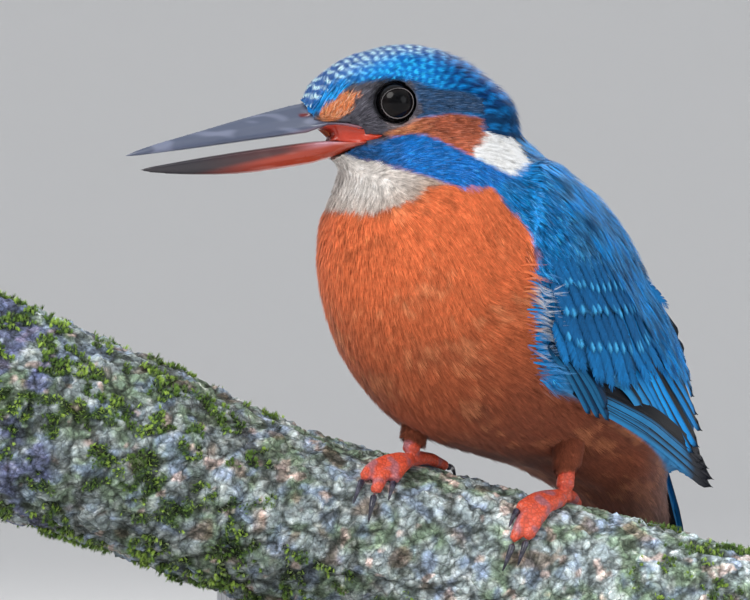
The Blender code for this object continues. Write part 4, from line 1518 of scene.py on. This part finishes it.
# %% Bill and mouth
NOSTRIL = np.array((17.4, 3.2, 1.0))
HORN = palette({
    "slate": (74, 82, 104), "pale slate": (128, 134, 158), "dark": (34, 36, 44), "red": (208, 74, 44),
    "pink": (226, 150, 140), "lining": (214, 62, 28), "deep lining": (120, 26, 14),
    "mauve": (146, 116, 130),
})


def dressed(name, nodes, voxel, softening, material, paint, change=None, swell=0.0):
    """A fine piece in place of coarse solids, painted by a rule over its world points."""
    made = melted(name, swollen_copy(nodes, swell), voxel, softening)
    places = array_of(made.data.vertices, "co", 3)
    if change:
        places = change(places, array_of(made.data.vertices, "normal", 3))
        made.data.vertices.foreach_set("co", places.ravel())
        made.data.update()
    add_colours(made.data, paint(places))
    made.data.materials.append(material)
    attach(made, "root")
    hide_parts(*nodes)
    print(name, len(made.data.polygons), "faces")
    return made


def painted_finish(name, roughness, specular, coat, scale, strength, stretch=(1, 1, 1)):
    """Horn, skin or lining: the painted colour, a little uneven, over a fine grain."""
    made, tree, shader = finish(name, roughness, specular, coat=coat)
    where = places_in(tree, Scale=stretch)
    grain = noise_in(tree, scale, 4, 0.6, where)
    uneven = ramp_in(tree, noise_in(tree, scale * 0.35, 3, 0.5, where), (0.3, 0.75), (0.7, 1.2))
    tree.links.new(mixed_colour(tree, "MULTIPLY", 0.3, paint_in(tree), uneven),
                   shader.inputs["Base Color"])
    tree.links.new(ramp_in(tree, grain, (0.2, roughness * 0.7), (0.8, min(1, roughness * 1.3))),
                   shader.inputs["Roughness"])
    bumped(tree, shader, grain, strength, 0.05)
    return made


print("paints of the bill:", len(HORN))


# %% Shapes of the bill and the mouth
def edge_at(forward, *notes):
    """A height, from (forward, up) notes, at places along the bill."""
    return np.interp(forward, *zip(*notes))


def nostril(local, length, height):
    """How much a place lies in the slanting slit on either side of the bill: 0 to 1."""
    along, up = local[:, 0] - NOSTRIL[0], local[:, 2] - NOSTRIL[2]
    slit = np.exp(-(along / length) ** 4 - ((up - 0.12 * along) / height) ** 2)
    return slit * (np.abs(local[:, 1]) > 1.2)


def upper_shaped(places, normals):
    """Presses the nostril slits in, and raises the cutting edge where the gape opens."""
    local = inside(places, HEAD)
    x, _, z = local.T
    slit = nostril(local, 1.0, 0.28)
    edge = edge_at(x, (5, -4.6), (8, -4.1), (10, -3.6), (14, -2.9), (18, -2.6), (26, -2.1))
    raised = edge_at(x, (5, 0), (8.4, 0.4), (10, 0.7), (12, 1), (13.5, 1), (15, 0.6),
                     (17.5, 0))
    z += raised * (1 - eased(z - edge, 0.2, 2.0))
    return outside(local, HEAD) - normals * (0.45 * slit)[:, None] * MM


def lower_shaped(places, normals):
    """Lowers the cutting edge of the lower half towards the gape."""
    local = inside(places, HEAD)
    x, _, z = local.T
    edge = edge_at(x, (5, -6.3), (8, -5.5), (10, -5.2), (14, -4.7), (18, -4.4))
    drop = edge_at(x, (4, 0.1), (6, 0.4), (9, 0.75), (11, 0.5), (14, 0.1), (16, 0))
    z -= drop * eased(z - edge, -1.3, 0)
    return outside(local, HEAD)


def lining_shaped(places, normals):
    """Stretches the lining up and down to fill the open gape, hollowed between the two edges."""
    local = inside(places, HEAD)
    x, y, z = local.T
    low = edge_at(x, (3, -6.2), (4, -6.5), (6, -6.1), (8, -5.4), (12, -4.9), (16, -4.3))
    high = edge_at(x, (3, -5.4), (4, -4.7), (5, -4.3), (8, -4.2), (12, -3.4), (16, -3.1))
    floor = edge_at(x, (3, -6.4), (5, -6.8), (8, -6.6), (10, -6.2), (14, -5.2), (16, -4.9))
    roof = edge_at(x, (3, -5.6), (5, -4.6), (8, -3.3), (10, -2.5), (13.5, -1.5), (16, -2.2))
    share = np.clip((z - low) / (high - low), 0, 1)
    hollow = (1 - (2 * share - 1) ** 2) * eased(x, 2.5, 8)
    y *= 0.93 - 0.14 * hollow + 0.05 * eased(share, 0.7, 1)
    front = eased(x, 10.5, 16)
    x -= front * (1.4 + 1.7 * (1 - (2 * share - 0.8) ** 2))
    z[:] = mixed(floor, roof, share)
    return outside(local, HEAD)


print("nostril at", NOSTRIL, "mm from between the eyes")


# %% Paints of the bill and the mouth
def upper_paint(places):
    local = inside(places, HEAD)
    x, _, z = local.T
    streak = smooth_noise(places * (0.35, 1, 1), 1.6, 5)
    edge = 1 - eased(z + 0.03 * x, -2.4, -0.8)
    return layered(all_over(places, HORN["slate"]),
                   # Pale streaks along the upper half: painted highlight streaks of its gloss.
                   (HORN["pale slate"], eased(streak, 0.1, 0.9) * 0.5),
                   (HORN["dark"], 0.6 * edge * eased(x, 18, 30)),
                   (HORN["mauve"], 0.85 * edge * (1 - eased(x, 18, 26))),
                   (HORN["red"], 0.6 * (1 - eased(x, 4, 11)) * edge),
                   # The nostril slits are painted dark red, as painted shade in the openings.
                   (HORN["deep lining"], nostril(local, 1.05, 0.34)))


def lower_paint(places):
    x, _, z = inside(places, HEAD).T
    streak = smooth_noise(places * (0.35, 1, 1), 1.4, 9)
    top = eased(z + 0.02 * x, -6.0, -4.8)
    # The red is darkened all over, as painted shade of the lower half's underside.
    return layered(all_over(places, HORN["red"] * 0.66),
                   (HORN["pink"], eased(streak, 0.2, 0.9) * 0.25),
                   # The cutting edge near the gape is pale mauve: its own colour, made paler as painted
                   # highlight.
                   (HORN["mauve"] * 1.5, 0.85 * top * (1 - eased(x, 13, 22))),
                   (HORN["dark"], 0.85 * top * eased(x, 14, 24)),
                   (HORN["dark"], 0.9 * eased(x, 24, 42)))


def lining_paint(places):
    # Darker towards the midline: partly the mouth's deeper red, partly painted shade in the hollow.
    depth = eased(-np.abs(inside(places, HEAD)[:, 1]), -8, -2)
    return painted(all_over(places, HORN["lining"]), HORN["deep lining"], 0.7 * depth)


HORN_FINISH = painted_finish("bill horn", 0.34, 0.5, 0.25, 700, 0.3, stretch=(0.3, 1, 1))
LINING_FINISH = painted_finish("mouth lining", 0.4, 0.5, 0.35, 900, 0.25)
dressed("bill_upper_horn", ["bill_upper"], 0.25, 5, HORN_FINISH, upper_paint, upper_shaped)
dressed("bill_lower_horn", ["bill_lower"], 0.25, 5, HORN_FINISH, lower_paint,
        lower_shaped)
dressed("mouth_lining", ["gape"], 0.25, 4, LINING_FINISH, lining_paint,
        lining_shaped)

# %% [markdown]
# The eye is a dark wet ball, nearly all of it pupil and dark brown iris. The lids are a thin pale
# ring round it, and bare skin that slopes from the ring to under the feathers. Both are one profile
# spun round the eye's axis. The upper lid sits a little lower, as a brow does.

# %% Eyes and lids
LID_RADIUS, LID_THICK, HOOD = 3.1, 0.2, 0.15
LID = palette({"rim": (30, 29, 34), "pale rim": (142, 134, 134), "inner": (14, 14, 16)})
LID_SKIRT = ((3.32, 0.3), (3.5, 1.1), (3.8, 2.2), (4.1, 3.2))  # radius, and how far behind the ring


def make_eye_finish(side):
    """A dark iris round a black pupil, centred on the eye's own axis, under a clear wet coat."""
    made, tree, shader = finish(f"eye {side}", 0.25, 0.05)
    shader.inputs["Coat Roughness"].default_value = 0.03
    shader.inputs["Coat IOR"].default_value = 1.3
    shader.inputs["Coat Weight"].default_value = 0.5
    local = places_in(tree, Location=tuple(-middle_of(f"eye_{side}")))
    flat = node_in(tree, "VectorMath", {0: local, 1: tuple(HEAD[1][1])}, operation="CROSS_PRODUCT")
    away = node_in(tree, "VectorMath", {0: flat.outputs[0]}, operation="LENGTH").outputs["Value"]
    ring = maths(tree, "ADD", maths(tree, "MULTIPLY", away, 1 / (4 * MM)),
                 maths(tree, "MULTIPLY", noise_in(tree, 1500, 3), 0.1))
    colour = ramp_in(tree, ring, (0.5, plain_colour(2, 2, 4)), (0.58, plain_colour(14, 9, 9)),
                     (0.86, plain_colour(8, 6, 7)), (0.98, plain_colour(3, 3, 4)))
    tree.links.new(colour, shader.inputs["Base Color"])
    return made


def make_eye(side):
    """A fine round ball in place of the faceted one."""
    place = middle_of(f"eye_{side}")
    spread = np.linalg.norm(points_of(f"eye_{side}") - place, axis=1)
    bm = bmesh.new()
    bmesh.ops.create_icosphere(bm, subdivisions=4, radius=float(spread.max()))
    bmesh.ops.translate(bm, verts=bm.verts, vec=place)
    ball = object_from(f"eyeball_{side}", bm)
    ball.data.materials.append(make_eye_finish(side))
    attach(ball, "root")
    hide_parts(f"eye_{side}")


print("lids at", LID_RADIUS, "mm round each eye")


# %% Lids
def make_lids(side, sign):
    """A thin bead round the opening, and bare skin that slopes from it to under the feathers."""
    eye = inside(middle_of(f"eye_{side}")[None], HEAD)[0]
    radius = float(np.ptp(inside(points_of(f"eye_{side}"), HEAD)[:, 0])) / 2
    out = math.sqrt(radius ** 2 - LID_RADIUS ** 2)
    bead = [(LID_RADIUS + LID_THICK * math.cos(a), out + LID_THICK * math.sin(a))
            for a in np.linspace(-2.6, 0.9 * math.pi / 2, 7)]
    bm = spun(bead + [(reach, out - behind) for reach, behind in LID_SKIRT], 72, 1e-4)
    for v in bm.verts:
        turn, away = math.atan2(v.co.y, v.co.x), math.hypot(v.co.x, v.co.y)
        away += 0.04 * math.sin(26 * turn) * (away < LID_RADIUS + 0.3)
        drawn = away * (1 - HOOD * max(math.sin(turn), 0) ** 2 * (1 - eased(away, 3.5, 4.2)))
        ball = math.sqrt(radius ** 2 - min(drawn, radius - 0.05) ** 2)
        rise = ball - math.sqrt(radius ** 2 - min(away, radius - 0.05) ** 2)
        local = np.array((eye[0] + drawn * math.cos(turn), eye[1] + sign * (v.co.z + rise),
                          eye[2] + drawn * math.sin(turn)))
        v.co = outside(local[None], HEAD)[0]
    bmesh.ops.recalc_face_normals(bm, faces=bm.faces)
    facing = sum((f.normal * f.calc_area() for f in bm.faces), Vector())
    if facing.dot(Vector(turned(np.array((0.0, sign, 0.0)), HEAD))) < 0:
        bmesh.ops.reverse_faces(bm, faces=bm.faces)
    lids = object_from(f"lids_{side}", bm)
    local = inside(array_of(lids.data.vertices, "co", 3), HEAD) - eye
    away = np.hypot(local[:, 0], local[:, 2])
    away = away / (1 - HOOD * np.clip(local[:, 2] / away, 0, 1) ** 2)
    rim = 1 - eased(away, LID_RADIUS + 0.1, LID_RADIUS + 0.34)
    inner = 1 - eased(away, LID_RADIUS - 0.12, LID_RADIUS + 0.02)
    # The pale ring dims at its front and top, as painted shade under the brow.
    pale = 0.8 * rim * (1 - 0.6 * eased(local[:, 0] + local[:, 2], 0.5, 3))
    add_colours(lids.data, layered(all_over(local, LID["rim"]), (LID["pale rim"], pale),
                                   (PAINT["lores"] * 1.1, eased(away, 3.32, 3.46)),
                                   (LID["inner"], inner)))
    lids.data.materials.append(LID_FINISH)
    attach(lids, "root")


LID_FINISH = painted_finish("lid skin", 0.5, 0.4, 0.1, 2500, 0.5)
for side, sign in SIDES:
    make_lids(side, sign)
    make_eye(side)
print("hooded by", HOOD, "of the ring's radius at the top")

# %% [markdown]
# Legs and feet are one scaly skin each, orange-red with mauve scutes along the tops of the toes. The
# scutes are cells of a Voronoi pattern, raised by a bump. Claws are dark horn, pieces of their own.

# %% Feet and claws
SKIN_PAINT = palette({
    "red": (226, 92, 64), "deep": (186, 62, 48), "mauve": (166, 112, 124), "claw": (44, 44, 58),
    "claw pale": (96, 92, 112),
})
CLAW_KINDS = ("middle", "outer", "inner", "hind")


def foot_paint(places):
    height = inside(places, BODY)[:, 2]
    mauve = eased(smooth_noise(places, 2.4, 30), 0.0, 0.6) * 0.75
    return layered(all_over(places, SKIN_PAINT["red"]),
                   (SKIN_PAINT["deep"], 0.5 * eased(smooth_noise(places, 1.3, 3), 0.1, 0.9)),
                   (SKIN_PAINT["mauve"], mauve * eased(height, -66, -40)))


def claw_paint(places):
    patch = eased(smooth_noise(places, 1.0, 8), 0, 0.8)
    return painted(all_over(places, SKIN_PAINT["claw"]), SKIN_PAINT["claw pale"], 0.5 * patch)


def make_scaly_finish():
    made, tree, shader = finish("foot skin", 0.42, 0.45, coat=0.15)
    cells = node_in(tree, "TexVoronoi",
                    {"Vector": places_in(tree), "Scale": 1100.0, "Randomness": 0.85},
                    feature="DISTANCE_TO_EDGE").outputs["Distance"]
    seams = ramp_in(tree, cells, (0.0, 0.35), (0.12, 0.9), (0.4, 1.1))
    tree.links.new(mixed_colour(tree, "MULTIPLY", 0.5, paint_in(tree), seams),
                   shader.inputs["Base Color"])
    bumped(tree, shader, ramp_in(tree, cells, (0.0, 0.0), (0.25, 0.9), (0.6, 1.0)), 0.7, 0.12)
    return made


SCALY = make_scaly_finish()
CLAW_FINISH = painted_finish("claw horn", 0.3, 0.5, 0.3, 1500, 0.2)
FEET = {}
for side in ("left", "right"):
    FEET[side] = dressed(f"foot_skin_{side}", [f"leg_{side}", f"foot_{side}"], 0.26, 5, SCALY,
                         foot_paint, swell=0.28)
    dressed(f"claws_{side}_horn", [f"claw_{side}_{kind}" for kind in CLAW_KINDS], 0.15, 2, CLAW_FINISH,
            claw_paint, swell=0.12)

# %% [markdown]
# The top of each leg is feathered, and the belly closes round it. The short plumes grow from the
# leg itself and lie down along it, longest where the leg comes out of the belly.

# %% Plumes round the legs
SOCK = tuft_shape(5, 3, 0.12, 9)
TRUNK_TREE = tree_of(["trunk"])
SOCK_REACH = {"left": 4.6, "right": 1.2}
SOCK_SPACING, SOCK_HALF_WIDTH, OFF_THE_FOOT = 0.36, 0.75, 0.8


def leg_way(side):
    """The way down a leg, from its top to its ankle."""
    points = points_of(f"leg_{side}")
    order = np.argsort(points[:, 2])
    part = len(order) // 4
    return unit((points[order[:part]].mean(0) - points[order[-part:]].mean(0))[None])


def lay_sock(side):
    surface = Surface(FEET[side].data)
    foot, reach = tree_of([f"foot_{side}"]), SOCK_REACH[side]
    roots, normals = surface.scattered(
        SOCK_SPACING, lambda p: (gap_to(TRUNK_TREE, p) < reach) * (gap_to(foot, p) > OFF_THE_FOOT))
    count = len(roots)
    ways = along_surface(np.repeat(leg_way(side), count, 0) + rng.normal(0, 0.12, (count, 3)), normals)
    near = 1 - eased(gap_to(TRUNK_TREE, roots), 1, reach)
    lengths = varied(count, 0.15, 0.6, 1.4) * (1.2 + 0.36 * reach * near)
    line, ups, heads = stations_along(surface, roots, normals, ways, lengths, 3, 0.2)
    places, up, _ = laid(SOCK, line, ups, heads, lengths, np.full(count, SOCK_HALF_WIDTH), 0.35 + near)
    base = all_over(roots, PAINT["rust"]) * rng.normal(1.35, 0.14, (count, 1))
    middle = inside(roots.mean(0)[None], BODY)[0]
    joined(f"plumes_leg_{side}", SOCK, places, up, plain_paint(base, SOCK), globe(roots, BODY, middle),
           PLUME, 0.6)


for side in FEET:
    lay_sock(side)

# %% [markdown]
# The perch is an old branch under lichen. We melt a copy of the solid into an even fine mesh and
# push it about by the edges of Voronoi cells: big lumps, small nodules, and cracks between them.
# Near the toes it may only sink, so that the feet still stand on it. Crusts finer than the mesh are
# left to the material: two sizes of cells give them shades of their own, seams and a bump.

# %% Bark
BARK = palette({
    "grey": (166, 176, 176), "green grey": (136, 154, 130), "pale": (222, 228, 222),
    "crack": (46, 48, 42), "blue grey": (156, 172, 200), "violet": (110, 114, 160),
    "pink": (232, 202, 190), "brown": (148, 124, 106),
    "moss": (98, 132, 54), "bright moss": (170, 204, 88), "deep moss": (62, 88, 36),
})


def cell_height(points, size, shift):
    """How far into its Voronoi cell a world point lies: 0 at a crack, about 1 in the middle."""
    found = [noise.voronoi(p)[0] for p in points / (size * MM) + shift]
    return eased(np.array([d[1] - d[0] for d in found]), 0, 0.5)


def above_branch(points):
    """How far above the branch's sloping axis world points lie, in millimetres."""
    return points[:, 2] / MM - (66 - 0.31 * (points[:, 0] / MM + 38))


def moss_at(points):
    """How mossy the branch is: most at its high end and low on its flank, in patches elsewhere."""
    x, rise = points[:, 0] / MM, above_branch(points)
    high = eased(-x, 18, 46) * eased(rise, -10, 6)
    low = eased(-x, -20, 40) * (1 - eased(rise, -13, -3))
    patches = eased(smooth_noise(points, 6, 12), -0.15, 0.4)
    fine = eased(smooth_noise(points, 2.2, 21), -0.45, 0.25)
    share = np.clip(high + 0.9 * low + 0.32 * eased(x, 36, 66) + 0.12, 0, 1)
    return share * (0.15 + 0.85 * patches) * fine


FOOT_NODES = [f"{kind}_{side}" for kind in ("leg", "foot") for side in ("left", "right")]
CLAW_NODES = [f"claw_{side}_{kind}" for side in ("left", "right") for kind in CLAW_KINDS]


def bark_relief(points):
    """Height of the bark in millimetres, with how far lumps and nodules are from their cracks."""
    warp = np.stack([smooth_noise(points, 4.5, shift) for shift in (31, 57, 83)], axis=1)
    bent = points + warp * 1.3 * MM
    lumps, nodules, beads = (cell_height(bent, size, shift)
                             for size, shift in ((8.0, 3.0), (3.6, 9.0), (1.7, 15.0)))
    grit = smooth_noise(points, 0.8, 17)
    height = 0.6 * (lumps - 0.6) + 0.6 * (nodules - 0.6) + 0.3 * (beads - 0.6) + 0.15 * grit
    return height, lumps, nodules, beads


def roughened(places, normals):
    relief = bark_relief(places)[0]
    near = 1 - eased(gap_to(tree_of(FOOT_NODES + CLAW_NODES), places), 0.8, 3.0)
    relief = relief * (1 - near) - 0.12 * near
    return places + normals * relief[:, None] * MM


print("paints of bark and moss:", len(BARK))


# %% Paint and finish of the bark
LICHENS = (  # paint, share, size of the blobs, shift of the noise, where it starts and is full
    ("green grey", 1, 6, 2, -0.2, 0.4), ("blue grey", 0.7, 4, 50, 0.15, 0.6),
    ("pale", 0.6, 2.2, 60, 0.25, 0.8), ("pink", 0.8, 3.2, 70, 0.62, 0.8),
    ("brown", 0.7, 5, 80, 0.45, 0.8),
)


def bark_paint(places):
    height, lumps, nodules, beads = bark_relief(places)
    x = places[:, 0] / MM
    violet = eased(smooth_noise(places, 6, 90), -0.2, 0.2)
    speck = eased(smooth_noise(places, 1.1, 7), 0.0, 0.7)
    crack = 0.7 * (1 - eased(lumps, 0, 0.22)) + 0.55 * (1 - eased(nodules, 0, 0.25))
    crack = np.clip(crack + 0.3 * (1 - eased(beads, 0, 0.2)), 0, 1)
    colours = layered(
        all_over(places, BARK["grey"]),
        *((BARK[name], share * eased(smooth_noise(places, size, shift), start, full))
          for name, share, size, shift, start, full in LICHENS),
        (BARK["violet"], 0.8 * eased(-x, 66, 71) * violet),
        (BARK["pale"], 0.35 * speck * eased(height, -0.2, 0.5)),
        (BARK["deep moss"], eased(moss_at(places), 0.08, 0.45) * 0.85),
        (BARK["crack"], crack * 0.85),
        # Painted shade: darker below the branch's sloping axis, on its underside.
        (BARK["crack"], 0.3 * eased(-above_branch(places), 4, 16)))
    brighter = 1.02 + 0.6 * eased(x, -40, 50)
    return np.clip(colours * brighter[:, None], 0, 1)


def make_bark_finish():
    """The painted colour, split into small crusts of their own shades by two sizes of cells."""
    made, tree, shader = finish("lichened bark", 0.9, 0.15)
    where = places_in(tree)
    drift = node_in(tree, "TexNoise", {"Vector": where, "Scale": 320.0, "Detail": 3.0}).outputs["Color"]
    drift = node_in(tree, "VectorMath", {0: drift, "Scale": 0.003}, operation="SCALE").outputs[0]
    bent = node_in(tree, "VectorMath", {0: where, 1: drift}, operation="ADD").outputs[0]
    colour, heights = paint_in(tree), []
    for scale, depth, share in ((430.0, 0.4, 0.5), (1150.0, 0.75, 0.45)):
        cells = {"Vector": bent, "Scale": scale}
        edges = node_in(tree, "TexVoronoi", cells, feature="DISTANCE_TO_EDGE")
        crust = node_in(tree, "TexVoronoi", cells).outputs["Color"]
        tint = ramp_in(tree, crust, (0.0, plain_colour(150, 168, 148)),
                       (0.3, plain_colour(226, 232, 232)), (0.6, (1.1, 1.16, 1.25)),
                       (1.0, (2.0, 1.9, 1.85)))
        colour = mixed_colour(tree, "MULTIPLY", share, colour, tint)
        seam = ramp_in(tree, edges.outputs["Distance"], (0.0, depth), (0.12, 0.9), (0.3, 1.15))
        colour = mixed_colour(tree, "MULTIPLY", 0.75, colour, seam)
        heights.append(ramp_in(tree, edges.outputs["Distance"], (0.0, 0.0), (0.22, 0.85), (0.5, 1.0)))
    tree.links.new(colour, shader.inputs["Base Color"])
    both = mixed_colour(tree, "MIX", 0.35, *heights)
    both = mixed_colour(tree, "MIX", 0.2, both, noise_in(tree, 2200, 3))
    bumped(tree, shader, both, 0.8, 0.5)
    return made


bark = dressed("bark", ["perch"], 0.62, 2, make_bark_finish(), bark_paint, roughened)

# %% [markdown]
# Moss grows on the bark as feathers grow on the skin, so the same hands lay it: small tufts of
# blades, which here stand up instead of lying down.

# %% Moss
BLADES = tuft_shape(5, 2, 0.16, 8)
GROUND = Surface(bark.data)


MOSS_SPACING, BLADE_HALF_WIDTH, CLEAR_OF_BIRD, STATIONS = 0.68, 0.5, 3, 4


def lay_moss():
    roots, normals = GROUND.scattered(MOSS_SPACING, lambda p: eased(moss_at(p), 0.18, 0.5))
    bird = tree_of(FOOT_NODES + CLAW_NODES + ["trunk", "tail"])
    clear = gap_to(bird, roots) > CLEAR_OF_BIRD
    roots, normals = roots[clear], normals[clear]
    count = len(roots)
    ways = along_surface(rng.normal(0, 1, (count, 3)) + (0, 0, 0.4), normals)
    lengths = np.clip(rng.normal(1.3, 0.4, count), 0.5, 2.4)
    rise = np.clip(rng.normal(0.75, 0.15, count), 0.35, 1.0)
    shares = np.linspace(0, 1, STATIONS)[None, :, None]
    lean = ways * (1 - rise)[:, None]
    line = roots[:, None] + (lean[:, None] * shares) * lengths[:, None, None] * MM
    ups, heads = (np.repeat(each[:, None], STATIONS, 1) for each in (normals, ways))
    widths = np.full(count, BLADE_HALF_WIDTH)
    places, up, _ = laid(BLADES, line, ups, heads, lengths, widths, lengths * rise)
    pick = eased(smooth_noise(roots, 3.5, 33) + rng.normal(0, 0.25, count), -0.3, 0.6)
    base = painted(all_over(roots, BARK["moss"]), BARK["bright moss"], pick)
    colours = plain_paint(base, BLADES, None, 0.4, 1.25)
    middle = inside(roots.mean(0)[None], BODY)[0]
    joined("moss", BLADES, places, up, colours, globe(roots, BODY, middle), MOSS, 0.35)


MOSS = coat_finish("moss", 0.8, 0.2, 0.2)
lay_moss()

# %% [markdown]
# The display stand is plain on purpose: a dark painted base and two brushed steel rods.

# %% Stand
def make_base_finish():
    made, tree, shader = finish("base paint", 0.55, 0.4)
    tree.links.new(ramp_in(tree, noise_in(tree, 40, 4), (0.3, plain_colour(44, 44, 46)),
                           (0.7, plain_colour(54, 54, 56))), shader.inputs["Base Color"])
    bumped(tree, shader, noise_in(tree, 900, 4), 0.25, 0.08)
    return made


def make_rod_finish():
    made, tree, shader = finish("brushed steel", 0.32, 0.5, metallic=1.0)
    lines = noise_in(tree, 4000, 2, 0.5, places_in(tree, Scale=(1, 1, 0.02)))
    tree.links.new(ramp_in(tree, lines, (0.3, plain_colour(150, 152, 156)),
                           (0.7, plain_colour(188, 190, 194))), shader.inputs["Base Color"])
    bumped(tree, shader, lines, 0.15, 0.02)
    return made


STAND_FINISHES = {"stand_base": make_base_finish(), "stand_rod_left": make_rod_finish()}
STAND_FINISHES["stand_rod_right"] = STAND_FINISHES["stand_rod_left"]
for node, material in STAND_FINISHES.items():
    NODES[node].data.materials.clear()
    NODES[node].data.materials.append(material)
print("finished", len(STAND_FINISHES), "solids of the stand")

# %% [markdown]
# Last, we count the triangles of the coat and the moss. Feathers may stand a little proud, and
# nothing may have grown.

# %% Sizes
bpy.context.view_layer.update()
print("coat and moss triangles:", sum(TALLY.values()))
